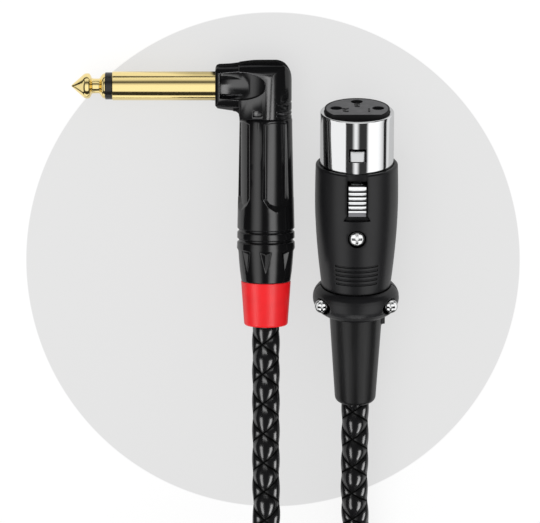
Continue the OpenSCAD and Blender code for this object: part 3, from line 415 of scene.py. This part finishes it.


# Glossy black PVC, extruded over the braid and embossed while soft: it shines on the puffed diamonds,
# is dull down in the grooves, with shade painted there as a darker colour and less shine, and has a faint
# ripple from the braid beneath.
pvc, tree, shader = start_material("embossed_black_PVC", "0e0e0f", 0.16, ior=1.45)
on_sheath = add_node(tree, "ShaderNodeUVMap", {"uv_map": "sheath"}).outputs[0]
cell = add_node(tree, "ShaderNodeSeparateXYZ", Vector=on_sheath)
lean = add_node(tree, "ShaderNodeMath", {"operation": "MULTIPLY"}, _0=cell.outputs["Y"], _1=2.0)
waves = []
for sign in (1.0, -1.0):
    along = add_node(tree, "ShaderNodeMath", {"operation": "MULTIPLY_ADD"},
                     _0=lean.outputs[0], _1=sign, _2=cell.outputs["X"])
    swing = add_node(tree, "ShaderNodeMath", {"operation": "MULTIPLY"}, _0=along.outputs[0], _1=math.pi)
    wave = add_node(tree, "ShaderNodeMath", {"operation": "COSINE"}, _0=swing.outputs[0])
    waves.append(add_node(tree, "ShaderNodeMath", {"operation": "ABSOLUTE"}, _0=wave.outputs[0]).outputs[0])
rise = add_node(tree, "ShaderNodeMath", {"operation": "MINIMUM"}, _0=waves[0], _1=waves[1]).outputs[0]
# Down in the grooves the roughness rises, and shade is painted: a darker colour and less shine.
dull = add_node(tree, "ShaderNodeMapRange", Value=rise, From_Min=0.08, From_Max=0.36, To_Min=0.4, To_Max=0.2)
painted_shade_shine = add_node(tree, "ShaderNodeMapRange", Value=rise, From_Min=0.04, From_Max=0.40, To_Max=0.55)
painted_groove_shade = fill_ramp(add_node(tree, "ShaderNodeValToRGB", Fac=rise), (0.05, "040404"), (0.4, "0d0d0e"))
pillow = add_node(tree, "ShaderNodeMath", {"operation": "MULTIPLY"}, _0=waves[0], _1=waves[1])
pillow = add_node(tree, "ShaderNodeMath", {"operation": "POWER"}, _0=pillow.outputs[0], _1=0.55)
ripple = add_node(tree, "ShaderNodeMapping", Vector=on_sheath, Scale=(6, 14, 1))
ripple = add_node(tree, "ShaderNodeTexNoise", Vector=ripple.outputs[0], Scale=1.0, Detail=2.0)
height = add_node(tree, "ShaderNodeMath", {"operation": "MULTIPLY_ADD"},
                  _0=ripple.outputs["Fac"], _1=0.04, _2=pillow.outputs[0])
relief = add_node(tree, "ShaderNodeBump", Height=height.outputs[0], Strength=1.0, Distance=0.7 * mm)
feed(shader, Roughness=dull.outputs[0], Specular_IOR_Level=painted_shade_shine.outputs[0], Base_Color=painted_groove_shade.outputs[0],
     Normal=relief.outputs[0])
cable.data.materials.append(pvc)
show_in(cable, *sheath_boxes)

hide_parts("cable_run_xlr", "cable_coil", "cable_run_jack")
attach(cable, "lead")


# ---- XLR nose ----
# The connector's metal shell: a deep-drawn brass tube, nickel and chrome plated and polished, with a
# rounded lip. A window for the latch's hook is punched in it, and its rear is held in the handle.
def merged_copy(node, name):
    """A new object on a copy of a CAD node's mesh, with its doubles merged and flat faces joined."""
    mesh = bpy.data.meshes.new(name)
    bm = bmesh.new()
    bm.from_mesh(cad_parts[node].data)
    bmesh.ops.remove_doubles(bm, verts=bm.verts, dist=1e-6)
    bmesh.ops.dissolve_limit(bm, angle_limit=math.radians(0.5), verts=bm.verts, edges=bm.edges)
    bm.to_mesh(mesh)
    bm.free()
    if "custom_normal" in mesh.attributes:
        mesh.attributes.remove(mesh.attributes["custom_normal"])
    piece = bpy.data.objects.new(name, mesh)
    scene.collection.objects.link(piece)
    return piece


def finish_shape(piece, sharp=40):
    """Applies a piece's modifiers, and shades it smooth but for its sharp edges."""
    bpy.context.view_layer.update()
    shaped = bpy.data.meshes.new_from_object(piece.evaluated_get(bpy.context.evaluated_depsgraph_get()))
    piece.modifiers.clear()
    piece.data = shaped
    shaped.shade_smooth()
    shaped.set_sharp_from_angle(angle=math.radians(sharp))
    return piece


def broken_edges(piece, width, segments=3, angle=35, sharp=60, clamp=True):
    """Rounds a piece's sharp edges by a width in mm."""
    bevel = piece.modifiers.new("broken_edges", "BEVEL")
    bevel.width = width * mm
    bevel.segments = segments
    bevel.limit_method = "ANGLE"
    bevel.angle_limit = math.radians(angle)
    bevel.use_clamp_overlap = clamp
    return finish_shape(piece, sharp)


def dress(piece, material, slot, *nodes, body="lead", boxes=()):
    """Gives a piece its material and its place in the lead."""
    piece.data.materials.clear()
    piece.data.materials.append(material)
    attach(piece, body)
    if nodes:
        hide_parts(*nodes)
    show_in(piece, *boxes)


def dress_node(node, material, boxes=()):
    """Gives a CAD node that stays in view its material."""
    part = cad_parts[node]
    for slot in part.material_slots:
        slot.material = material
    if not part.material_slots:
        part.data.materials.append(material)
    show_in(part, *boxes)


def turned(name, profile, centre, axis, facets=160, tube=False):
    """A piece turned on a lathe. The profile is a list of places along the axis and radii, in mm."""
    axis = Vector(axis).normalized()
    out = axis.orthogonal().normalized()
    centre = Vector(centre)
    bm = bmesh.new()
    verts = [bm.verts.new((centre + axis * along + out * r) * mm) for along, r in profile]
    for a, b in zip(verts, verts[1:] + (verts[:1] if tube else [])):
        bm.edges.new((a, b))
    bmesh.ops.spin(bm, geom=bm.verts[:] + bm.edges[:], cent=centre * mm, axis=axis, angle=2 * math.pi,
                   steps=facets, use_merge=True)
    bmesh.ops.remove_doubles(bm, verts=bm.verts, dist=1e-7)
    bmesh.ops.recalc_face_normals(bm, faces=bm.faces)
    mesh = bpy.data.meshes.new(name)
    bm.to_mesh(mesh)
    bm.free()
    piece = bpy.data.objects.new(name, mesh)
    scene.collection.objects.link(piece)
    return piece


def cut_away(piece, *boxes):
    """Cuts boxes out of a piece. Each is its lowest and highest corner, in mm."""
    bm = bmesh.new()
    for low, high in boxes:
        low, high = Vector(low), Vector(high)
        made = bmesh.ops.create_cube(bm, size=1)
        bmesh.ops.scale(bm, verts=made["verts"], vec=(high - low) * mm)
        bmesh.ops.translate(bm, verts=made["verts"], vec=(low + high) / 2 * mm)
    cutter = bpy.data.objects.new("cutter", bpy.data.meshes.new("cutter"))
    bm.to_mesh(cutter.data)
    bm.free()
    scene.collection.objects.link(cutter)
    cut = piece.modifiers.new("cut_away", "BOOLEAN")
    cut.object = cutter
    cut.solver = "EXACT"
    finish_shape(piece, sharp=30)
    bpy.data.objects.remove(cutter)
    return piece


def quarter_turn(steps):
    """The angles of a quarter turn in so many steps."""
    return [math.radians(90 / steps * i) for i in range(steps + 1)]


xlr_centre = (26.5, 0, 9.6)
nose_r, nose_in_r, nose_front = 8.1, 7.2, 28.7
seat_r, seat_rear, seat_front = 7.8, 4.9, 16.75
lip_out, lip_in = 0.3, 0.15
hook_window = ((24.65, 19.5, 12), (28.35, 22.6, 19))
arm_slot = ((24.3, 4, 12), (28.7, 15.4, 19))
profile = [(seat_rear, nose_in_r), (seat_rear, seat_r), (seat_front, seat_r)]
profile += [(y, nose_r) for y in (seat_front, 17.5, 19.3, 19.5, 22.6, 22.8, 27.8)]
profile += [(nose_front - lip_out * (1 - math.sin(a)), nose_r - lip_out * (1 - math.cos(a)))
            for a in quarter_turn(6)]
profile += [(nose_front - lip_in * (1 - math.cos(a)), nose_in_r + lip_in * (1 - math.sin(a)))
            for a in quarter_turn(4)]
profile += [(28.0, nose_in_r), (17, nose_in_r)]
nose = turned("chrome_nose", profile, xlr_centre, (0, 1, 0), facets=192, tube=True)
cut_away(nose, hook_window, arm_slot)
broken_edges(nose, 0.1, segments=2, angle=50)

# Chrome over nickel on brass, polished on a wheel: a mirror with a trace of haze and very fine
# polishing lines round the tube. Here and below, a pattern's scale is so many grains to the mm.
chrome, tree, shader = start_material("polished_chrome_on_brass", "f4f5f6", 0.06, metallic=1.0)
spot = add_node(tree, "ShaderNodeTexCoord").outputs["Object"]
lines = add_node(tree, "ShaderNodeMapping", Vector=spot, Scale=(0.6 / mm, 9 / mm, 0.6 / mm))
lines = add_node(tree, "ShaderNodeTexNoise", Vector=lines.outputs[0], Scale=1.0, Detail=3.0)
haze = add_node(tree, "ShaderNodeMapRange", Value=lines.outputs["Fac"], To_Min=0.04, To_Max=0.10)
feed(shader, Roughness=haze.outputs[0])
dress(nose, chrome, "nose_chrome", "xlr_shell", boxes=chrome_boxes)

# ---- Socket insert ----
# A moulded disc of dark glass-filled nylon that carries the three contacts. Its near side is flat, its
# edge is proud of the nose, and the contacts' numbers are moulded beside their holes.
insert = broken_edges(merged_copy("socket_insert", "socket_insert_moulding"), 0.12, segments=2, clamp=False)
nylon, tree, shader = start_material("glass_filled_nylon_moulding", "6b6b6c", 0.5, ior=1.53)
spot = add_node(tree, "ShaderNodeTexCoord").outputs["Object"]
grain = add_node(tree, "ShaderNodeTexNoise", Vector=spot, Scale=9 / mm, Detail=3.0)
cloud = add_node(tree, "ShaderNodeTexNoise", Vector=spot, Scale=0.5 / mm, Detail=2.0).outputs["Fac"]
shade = fill_ramp(add_node(tree, "ShaderNodeValToRGB", Fac=cloud), (0.3, "626264"), (0.7, "6c6c6e"))
relief = add_node(tree, "ShaderNodeBump", Height=grain.outputs["Fac"], Strength=0.3, Distance=0.03 * mm)
# The face is pale; its sides, its holes and a thin rim round it are painted dark with little shine, as
# shade.
face_low, face_high = 29.40, 29.46
pale_x, pale_z, pale_in_r, pale_out_r = 26.5, 9.95, 6.72, 6.84
place = add_node(tree, "ShaderNodeSeparateXYZ", Vector=spot)
on_face = add_node(tree, "ShaderNodeMapRange", Value=place.outputs["Y"],
                   From_Min=face_low * mm, From_Max=face_high * mm)
spread = add_node(tree, "ShaderNodeMapping", Vector=spot,
                  Location=(-pale_x * mm, 0, -pale_z * mm), Scale=(1, 0, 1))
spread = add_node(tree, "ShaderNodeVectorMath", {"operation": "LENGTH"}, _0=spread.outputs[0])
inside = add_node(tree, "ShaderNodeMapRange", Value=spread.outputs["Value"],
                  From_Min=pale_out_r * mm, From_Max=pale_in_r * mm)
pale = add_node(tree, "ShaderNodeMath", {"operation": "MULTIPLY"},
                _0=on_face.outputs[0], _1=inside.outputs[0])
shade = add_node(tree, "ShaderNodeMix", {"data_type": "RGBA"}, _0=pale.outputs[0],
                 _6=from_hex("1d1d1e"), _7=shade.outputs[0])
painted_shade_shine = add_node(tree, "ShaderNodeMapRange", Value=pale.outputs[0], To_Min=0.1, To_Max=0.5)
feed(shader, Base_Color=shade.outputs[2], Specular_IOR_Level=painted_shade_shine.outputs[0], Normal=relief.outputs[0])
dress(insert, nylon, "insert_plastic", "socket_insert", boxes=handle_boxes)

# The numbers are moulded a little proud of the face, smoother than it is, and their shadow is painted on
# them as a dark colour.
digit_size, digit_rise, digit_y = 3.3, 0.1, 29.52
digit_painted_shadow, tree, shader = start_material("shadowed_moulded_digits", "161617", 0.5)
spot = add_node(tree, "ShaderNodeTexCoord").outputs["Object"]
grain = add_node(tree, "ShaderNodeTexNoise", Vector=spot, Scale=4 / mm, Detail=2.0)
haze = add_node(tree, "ShaderNodeMapRange", Value=grain.outputs["Fac"], To_Min=0.35, To_Max=0.65)
feed(shader, Roughness=haze.outputs[0])
upright = Matrix.Rotation(math.pi, 4, "Z") @ Matrix.Rotation(math.pi / 2, 4, "X")
for text, x, z in (("1", 29.1, 11.1), ("2", 23.9, 11.1), ("3", 26.5, 7.6)):
    letter = bpy.data.curves.new("digit_" + text, "FONT")
    letter.body = text
    letter.size = digit_size * mm
    letter.extrude = digit_rise * mm
    letter.bevel_depth = 0.03 * mm
    letter.align_x, letter.align_y = "CENTER", "CENTER"
    shape = bpy.data.objects.new("digit_" + text, letter)
    scene.collection.objects.link(shape)
    bpy.context.view_layer.update()
    digit = bpy.data.objects.new("contact_number_" + text, bpy.data.meshes.new_from_object(shape))
    bpy.data.objects.remove(shape)
    digit.data.transform(Matrix.Translation(Vector((x, digit_y, z)) * mm) @ upright)
    scene.collection.objects.link(digit)
    dress(digit, digit_painted_shadow, "insert_plastic", boxes=handle_boxes)

# Gold flashed brass contacts, turned from rod, with solder cups at the rear: bright, with a light haze.
contact_gold, tree, shader = start_material("gold_flashed_brass", "e6bd6a", 0.22, metallic=1.0)
spot = add_node(tree, "ShaderNodeTexCoord").outputs["Object"]
wear = add_node(tree, "ShaderNodeTexNoise", Vector=spot, Scale=1.5 / mm, Detail=3.0)
haze = add_node(tree, "ShaderNodeMapRange", Value=wear.outputs["Fac"], To_Min=0.16, To_Max=0.32)
feed(shader, Roughness=haze.outputs[0])
for node in ("contact_1", "contact_2", "contact_3"):
    dress_node(node, contact_gold, boxes=chrome_boxes)


# ---- Handle ----
# The XLR connector's handle is moulded from satin black nylon in one piece. It has a slot for the
# latch button, a boss for the insert's screw and five grooves for the thumb.
def moulded(node, name, grain, rounds):
    """A moulding on a copy of a CAD node: remeshed at a grain in mm, then its edges are eased."""
    piece = merged_copy(node, name)
    remesh = piece.modifiers.new("remesh", "REMESH")
    remesh.mode = "VOXEL"
    remesh.voxel_size = grain * mm
    finish_shape(piece, sharp=180)
    bm = bmesh.new()
    bm.from_mesh(piece.data)
    for _ in range(rounds):
        bmesh.ops.smooth_vert(bm, verts=bm.verts, factor=0.5,
                              use_axis_x=True, use_axis_y=True, use_axis_z=True)
    bm.to_mesh(piece.data)
    bm.free()
    piece.data.shade_smooth()
    return piece


handle = broken_edges(merged_copy("handle_housing", "handle_moulding"), 0.06, segments=2, clamp=False)

# Nylon from a finely sparked mould: an even satin that glitters a little.
satin_nylon, tree, shader = start_material("satin_black_nylon_moulding", "18181a", 0.34, ior=1.53)
spot = add_node(tree, "ShaderNodeTexCoord").outputs["Object"]
spark = add_node(tree, "ShaderNodeTexNoise", Vector=spot, Scale=5.2 / mm, Detail=3.0)
relief = add_node(tree, "ShaderNodeBump", Height=spark.outputs["Fac"], Strength=0.22, Distance=0.03 * mm)
cloud = add_node(tree, "ShaderNodeTexNoise", Vector=spot, Scale=0.16 / mm, Detail=3.0)
haze = add_node(tree, "ShaderNodeMapRange", Value=cloud.outputs["Fac"], To_Min=0.30, To_Max=0.40)
# Shade is painted into narrow grooves and joints: a darker colour and less shine where little light reaches.
open_sky = add_node(tree, "ShaderNodeAmbientOcclusion", {"samples": 8}, Distance=0.9 * mm).outputs["AO"]
shade = fill_ramp(add_node(tree, "ShaderNodeValToRGB", Fac=open_sky), (0.5, "020202"), (0.8, "18181a"))
painted_shade_shine = add_node(tree, "ShaderNodeMapRange", Value=open_sky, From_Min=0.5, From_Max=0.8, To_Max=0.5)
feed(shader, Roughness=haze.outputs[0], Base_Color=shade.outputs[0], Specular_IOR_Level=painted_shade_shine.outputs[0],
     Normal=relief.outputs[0])
dress(handle, satin_nylon, "handle_black", "handle_housing", boxes=handle_boxes)

# ---- Latch ----
# The latch is a lever of die-cast zinc, chrome plated: a ribbed button to press, an arm and a hook. It
# turns on a steel cross pin, and a small spring lifts it.
lever = broken_edges(merged_copy("latch_lever", "latch_button"), 0.05, segments=2, angle=30, clamp=False)
bright_chrome, tree, shader = start_material("chrome_plated_zinc_casting", "eeeff0", 0.16, metallic=1.0)
spot = add_node(tree, "ShaderNodeTexCoord").outputs["Object"]
haze = add_node(tree, "ShaderNodeTexNoise", Vector=spot, Scale=2.2 / mm, Detail=3.0)
haze = add_node(tree, "ShaderNodeMapRange", Value=haze.outputs["Fac"], To_Min=0.16, To_Max=0.22)
# The lip behind the ribs is painted dark grey as shade, and the hook's top is greyer than the polished
# button.
place = add_node(tree, "ShaderNodeSeparateXYZ", Vector=spot)
shade = add_node(tree, "ShaderNodeMapRange", Value=place.outputs["Y"], From_Min=8 * mm, From_Max=18 * mm)
shade = fill_ramp(add_node(tree, "ShaderNodeValToRGB", Fac=shade.outputs[0]),
                  (0.06, "77777a"), (0.07, "eeeff0"), (0.9, "eeeff0"), (1, "c2c3c4"))
feed(shader, Roughness=haze.outputs[0], Base_Color=shade.outputs[0])
dress(lever, bright_chrome, "latch_chrome", "latch_lever", body="latch", boxes=button_boxes)

# Drawn steel wire and rod, oiled, not plated: grey, with a soft shine.
spring_steel, tree, shader = start_material("drawn_spring_steel", "a9abad", 0.3, metallic=1.0)
spot = add_node(tree, "ShaderNodeTexCoord").outputs["Object"]
drawn = add_node(tree, "ShaderNodeTexNoise", Vector=spot, Scale=3 / mm, Detail=2.0)
drawn = add_node(tree, "ShaderNodeMapRange", Value=drawn.outputs["Fac"], To_Min=0.22, To_Max=0.4)
feed(shader, Roughness=drawn.outputs[0])
dress_node("latch_pin", spring_steel, boxes=chrome_boxes)
# The spring stands in its pocket, on a mesh of its own.
spring = finish_shape(merged_copy("latch_spring", "coil_spring"))
dress(spring, spring_steel, "pin_steel", "latch_spring", boxes=chrome_boxes)
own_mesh(spring)

# ---- Screws ----
# Nickel plated steel pan heads with Phillips recesses: one holds the insert, two draw the clamp's
# halves together. They are bright, and shade is painted dark down in the driver's recess.
screw_nickel, tree, shader = start_material("nickel_plated_steel_screw", "e9eaea", 0.14, metallic=1.0)
spot = add_node(tree, "ShaderNodeTexCoord").outputs["Object"]
haze = add_node(tree, "ShaderNodeTexNoise", Vector=spot, Scale=2.6 / mm, Detail=3.0)
haze = add_node(tree, "ShaderNodeMapRange", Value=haze.outputs["Fac"], To_Min=0.09, To_Max=0.22)
# Shade is painted where the heads are hemmed in, darkest down in the driver's recess.
open_sky = add_node(tree, "ShaderNodeAmbientOcclusion", {"samples": 8}, Distance=1.2 * mm).outputs["AO"]
shade = fill_ramp(add_node(tree, "ShaderNodeValToRGB", Fac=open_sky), (0.35, "141414"), (0.62, "e9eaea"))
feed(shader, Roughness=haze.outputs[0], Base_Color=shade.outputs[0])
for node, name, boxes in (("insert_screw", "insert_screw_head", button_boxes),
                          ("clamp_screws", "clamp_screw_heads", button_boxes + chrome_boxes)):
    screw = broken_edges(merged_copy(node, name), 0.07, segments=2, angle=40)
    dress(screw, screw_nickel, "screw_chrome", node, boxes=boxes)

# ---- Cable clamp ----
# Two halves of the same satin black nylon close round the boot's neck and the cable, and their rounded
# flange is the connector's widest place.
for node, name in (("clamp_top", "clamp_top_half"), ("clamp_base", "clamp_base_half")):
    half = moulded(node, name, grain=0.15, rounds=3)
    dress(half, satin_nylon, "handle_black", node, boxes=handle_boxes + [collar_box])

# ---- Boot ----
# A tapered sleeve of black thermoplastic rubber that keeps the cable from kinking. Its surface is drawn
# lengthways from the mould, which shows as faint darker streaks.
boot = moulded("xlr_boot", "rubber_boot", grain=0.16, rounds=3)
rubber, tree, shader = start_material("black_thermoplastic_rubber", "18181a", 0.32)
spot = add_node(tree, "ShaderNodeTexCoord").outputs["Object"]
streak = add_node(tree, "ShaderNodeMapping", Vector=spot, Scale=(0.9 / mm, 0.045 / mm, 0.9 / mm))
streak = add_node(tree, "ShaderNodeTexNoise", Vector=streak.outputs[0], Scale=1.0, Detail=4.0).outputs["Fac"]
shade = fill_ramp(add_node(tree, "ShaderNodeValToRGB", Fac=streak), (0.35, "111112"), (0.65, "1d1d1e"))
relief = add_node(tree, "ShaderNodeBump", Height=streak, Strength=0.3, Distance=0.06 * mm)
feed(shader, Base_Color=shade.outputs[0], Normal=relief.outputs[0])
dress(boot, rubber, "boot_rubber", "xlr_boot", boxes=handle_boxes)

# ---- Jack shaft ----
# The jack's shaft is turned brass, gold plated and polished: a pointed tip on a rod, a black insulating
# ring, and a sleeve of a quarter inch. Lengths run out from the barrel's centre line, in mm.
exit_to_shaft = 53.1
shaft_centre = jack_exit - exit_to_shaft * jack_way
shaft_way = (-1, 0, 0)
tip_point = 42.7
tip_end, ring_end, nose_face = tip_point - 7.45, tip_point - 9.0, 11.1
sleeve_r, sleeve_seat_r, sleeve_in_r, sleeve_rear = 3.175, 3.0, 1.9, 3.2
rod_r, rod_rear = 1.0, 0.6
ring_r, ring_neck_r, ring_in_r, ring_rear = 2.98, 1.85, 1.05, 2

# Polished gold: a warm mirror with the finest of turning lines round it.
plug_gold, tree, shader = start_material("polished_gold_plate", "f2dc9a", 0.09, metallic=1.0)
spot = add_node(tree, "ShaderNodeTexCoord").outputs["Object"]
lines = add_node(tree, "ShaderNodeMapping", Vector=spot, Scale=(7 / mm, 0.5 / mm, 0.5 / mm))
lines = add_node(tree, "ShaderNodeTexNoise", Vector=lines.outputs[0], Scale=1.0, Detail=3.0)
haze = add_node(tree, "ShaderNodeMapRange", Value=lines.outputs["Fac"], To_Min=0.07, To_Max=0.15)
feed(shader, Roughness=haze.outputs[0])

# The tip's outline: distances back from its point, and radii.
tip_line = [(0, 0.0), (0.02, 0.10), (0.12, 0.22), (2.55, 2.44), (2.8, 2.62), (3.05, 2.73), (3.3, 2.79),
            (3.55, 2.8), (3.8, 2.77), (4.0, 2.68), (4.15, 2.5), (4.3, 2.25), (4.42, 1.95), (4.55, 1.72),
            (4.75, 1.64), (5.3, 1.62), (6.0, 1.62), (6.18, 1.68), (6.35, 1.9), (6.6, 2.3), (6.85, 2.6),
            (7.1, 2.74), (7.3, 2.8), (7.4, 2.8), (7.45, 2.76)]
rod_line = [(tip_end, rod_r), (rod_rear + 0.1, rod_r), (rod_rear, rod_r - 0.1), (rod_rear, 0.0)]
tip = turned("gold_tip", [(tip_point - d, r) for d, r in tip_line] + rod_line, shaft_centre, shaft_way)
finish_shape(tip, sharp=50)
dress(tip, plug_gold, "plug_gold", "plug_tip", boxes=gold_boxes + [tip_box])
sleeve_line = [(sleeve_rear, sleeve_in_r), (sleeve_rear, sleeve_seat_r), (nose_face, sleeve_seat_r),
               (nose_face, sleeve_r), (ring_end - 0.12, sleeve_r), (ring_end - 0.04, 3.14), (ring_end, 3.05),
               (ring_end, sleeve_in_r)]
sleeve = turned("gold_sleeve", sleeve_line, shaft_centre, shaft_way, tube=True)
finish_shape(sleeve, sharp=50)
dress(sleeve, plug_gold, "plug_gold", "plug_sleeve", boxes=gold_boxes)

# The ring is turned from black acetal: smooth and satin, with fine turning lines.
ring_line = [(ring_rear, ring_in_r), (ring_rear, ring_neck_r), (ring_end, ring_neck_r), (ring_end, 2.9),
             (ring_end + 0.08, ring_r), (tip_end - 0.08, ring_r), (tip_end, 2.9), (tip_end, ring_in_r)]
ring = turned("insulating_ring", ring_line, shaft_centre, shaft_way, tube=True)
finish_shape(ring)
acetal, tree, shader = start_material("turned_black_acetal", "101011", 0.3, ior=1.48)
spot = add_node(tree, "ShaderNodeTexCoord").outputs["Object"]
lines = add_node(tree, "ShaderNodeMapping", Vector=spot, Scale=(6 / mm, 0.4 / mm, 0.4 / mm))
lines = add_node(tree, "ShaderNodeTexNoise", Vector=lines.outputs[0], Scale=1.0, Detail=2.0)
relief = add_node(tree, "ShaderNodeBump", Height=lines.outputs["Fac"], Strength=0.2, Distance=0.02 * mm)
feed(shader, Normal=relief.outputs[0])
dress(ring, acetal, "ring_black", "tip_insulator", boxes=gold_boxes)

# ---- Jack elbow and barrel ----
# The right-angle housing and its barrel are die-cast zinc with a deep gloss black lacquer. The nose is
# dished on both sides; the barrel screws into the elbow and has long recessed panels, two grooves and a
# row of notches for grip.
lacquer, tree, shader = start_material("gloss_black_lacquer_on_zinc", "0a0a0b", 0.16)
spot = add_node(tree, "ShaderNodeTexCoord").outputs["Object"]
peel = add_node(tree, "ShaderNodeTexNoise", Vector=spot, Scale=0.9 / mm, Detail=2.0)
haze = add_node(tree, "ShaderNodeMapRange", Value=peel.outputs["Fac"], To_Min=0.13, To_Max=0.20)
relief = add_node(tree, "ShaderNodeBump", Height=peel.outputs["Fac"], Strength=0.05, Distance=0.05 * mm)
# Highlights are painted on the edges as a greyer colour, and shade is painted in the corners as less shine.
eased = add_node(tree, "ShaderNodeBevel", {"samples": 8}, Radius=0.22 * mm)
level = add_node(tree, "ShaderNodeNewGeometry")
level = add_node(tree, "ShaderNodeVectorMath", {"operation": "DOT_PRODUCT"},
                 _0=eased.outputs[0], _1=level.outputs["Normal"])
painted_edge_highlight = add_node(tree, "ShaderNodeMapRange", Value=level.outputs["Value"], From_Min=0.985, From_Max=0.88)
open_sky = add_node(tree, "ShaderNodeAmbientOcclusion", {"samples": 8}, Distance=0.7 * mm).outputs["AO"]
outer = add_node(tree, "ShaderNodeMapRange", Value=open_sky, From_Min=0.56, From_Max=0.7)
painted_edge_highlight = add_node(tree, "ShaderNodeMath", {"operation": "MULTIPLY"}, _0=painted_edge_highlight.outputs[0], _1=outer.outputs[0])
shade = fill_ramp(add_node(tree, "ShaderNodeValToRGB", Fac=painted_edge_highlight.outputs[0]), (0, "0a0a0b"), (1, "747476"))
painted_shade_shine = add_node(tree, "ShaderNodeMapRange", Value=open_sky, From_Min=0.55, From_Max=0.85, To_Max=0.5)
feed(shader, Roughness=haze.outputs[0], Base_Color=shade.outputs[0], Specular_IOR_Level=painted_shade_shine.outputs[0],
     Normal=relief.outputs[0])
for node, name, boxes in (("elbow_housing", "elbow_casting", elbow_boxes),
                          ("barrel_shell", "barrel_casting", shell_boxes)):
    casting = broken_edges(merged_copy(node, name), 0.12, angle=30, clamp=False)
    dress(casting, lacquer, "shell_black", node, boxes=boxes)

# ---- Red ring ----
# A tapered ring of red ABS, moulded, that closes the barrel's rear and grips the cable. The plastic is
# satin and even, and clouds very slightly where it flowed.
red_abs, tree, shader = start_material("satin_red_ABS", "d2101a", 0.36, ior=1.53)
shader.inputs["Specular IOR Level"].default_value = 0.38
spot = add_node(tree, "ShaderNodeTexCoord").outputs["Object"]
cloud = add_node(tree, "ShaderNodeTexNoise", Vector=spot, Scale=0.3 / mm, Detail=3.0).outputs["Fac"]
shade = fill_ramp(add_node(tree, "ShaderNodeValToRGB", Fac=cloud), (0.3, "cc0f16"), (0.7, "d81119"))
grain = add_node(tree, "ShaderNodeTexNoise", Vector=spot, Scale=6 / mm, Detail=2.0)
relief = add_node(tree, "ShaderNodeBump", Height=grain.outputs["Fac"], Strength=0.12, Distance=0.03 * mm)
feed(shader, Base_Color=shade.outputs[0], Normal=relief.outputs[0])
red_piece = moulded("red_ring", "red_cable_ring", grain=0.12, rounds=3)
red_piece.visible_glossy = False
dress(red_piece, red_abs, "ring_red", "red_ring", boxes=ring_boxes)

# ---- Inside the connectors ----
# Cores of stranded copper in PVC, a twisted copper screen, gold plated lugs, and plain nylon pieces that
# grip and line. They show only when a connector is open: dull plastics, and metal with a light haze.
for name, colour, roughness, metallic, nodes in (
        ("red_PVC_core", "b51a1c", 0.4, 0.0, ("xlr_core_hot", "jack_core_hot")),
        ("white_PVC_core", "e2e0da", 0.4, 0.0, ("xlr_core_cold",)),
        ("twisted_copper_screen", "d08a5c", 0.32, 1.0, ("xlr_screen", "jack_screen")),
        ("natural_nylon", "ddd6c0", 0.45, 0.0, ("cable_chuck", "insulating_liner")),
        ("gold_plated_lug", "e8c26e", 0.25, 1.0, ("tip_lug", "sleeve_lug")),
        ("black_PVC_sheath_inside", "131314", 0.35, 0.0, ("xlr_cable_end", "jack_cable_end"))):
    material, tree, shader = start_material(name, colour, roughness, metallic)
    spot = add_node(tree, "ShaderNodeTexCoord").outputs["Object"]
    patch = add_node(tree, "ShaderNodeTexNoise", Vector=spot, Scale=1.2 / mm, Detail=3.0)
    haze = add_node(tree, "ShaderNodeMapRange", Value=patch.outputs["Fac"],
                    To_Min=roughness - 0.08, To_Max=roughness + 0.08)
    relief = add_node(tree, "ShaderNodeBump", Height=patch.outputs["Fac"], Strength=0.2, Distance=0.04 * mm)
    feed(shader, Roughness=haze.outputs[0], Normal=relief.outputs[0])
    for node in nodes:
        dress_node(node, material)

# ---- Coil tie ----
# A strap of black hook-and-loop tape round the coil, hooks inward. Its free end shows the greyer, softer
# side with the loops; it is pressed down over the top and the outer side, and its tip lifts a little.
tapes = []
for name, pale, dark, pile_per_mm in (("black_hook_tape", "2a2a2c", "0c0c0d", 1.7),
                                      ("charcoal_loop_tape", "505054", "202022", 1.1)):
    tape, tree, shader = start_material(name, dark, 0.85)
    spot = add_node(tree, "ShaderNodeTexCoord").outputs["Object"]
    pile = add_node(tree, "ShaderNodeTexVoronoi", Vector=spot, Scale=pile_per_mm / mm).outputs["Distance"]
    shade = fill_ramp(add_node(tree, "ShaderNodeValToRGB", Fac=pile), (0.1, pale), (0.7, dark))
    relief = add_node(tree, "ShaderNodeBump", Height=pile, Strength=0.8, Distance=0.2 * mm)
    feed(shader, Base_Color=shade.outputs[0], Normal=relief.outputs[0])
    tapes.append(tape)
tie = broken_edges(merged_copy("coil_tie", "hook_and_loop_tie"), 0.25)
dress(tie, tapes[0], "tie_fabric", "coil_tie")

tie_low, tie_high = [Vector(corner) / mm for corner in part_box("coil_tie")]
tape_t, corner_r, inset, top_reach = 0.9, 4.0, 0.4, 5
strip = [(tie_high.y - top_reach, tie_high.z)]
strip += [(tie_low.y + corner_r * (1 - math.sin(a)), tie_high.z - corner_r * (1 - math.cos(a)))
          for a in quarter_turn(6)]
strip += [(tie_low.y, 11), (tie_low.y - 0.2, 9.5), (tie_low.y - 0.7, 8)]
bm = bmesh.new()
line = [bm.verts.new(Vector((tie_low.x + inset, y, z + 0.02)) * mm) for y, z in strip]
line = [bm.edges.new(pair) for pair in zip(line, line[1:])]
across = bmesh.ops.extrude_edge_only(bm, edges=line)
bmesh.ops.translate(bm, verts=[v for v in across["geom"] if isinstance(v, bmesh.types.BMVert)],
                    vec=((tie_high.x - tie_low.x - 2 * inset) * mm, 0, 0))
bm.normal_update()
if sum(face.normal.z for face in bm.faces) < 0:
    bmesh.ops.reverse_faces(bm, faces=bm.faces)
free_end = bpy.data.objects.new("tie_free_end", bpy.data.meshes.new("tie_free_end"))
bm.to_mesh(free_end.data)
bm.free()
scene.collection.objects.link(free_end)
wall = free_end.modifiers.new("tape", "SOLIDIFY")
wall.thickness = tape_t * mm
wall.offset = 1
finish_shape(free_end)
broken_edges(free_end, 0.25)
dress(free_end, tapes[1], "tie_fabric")
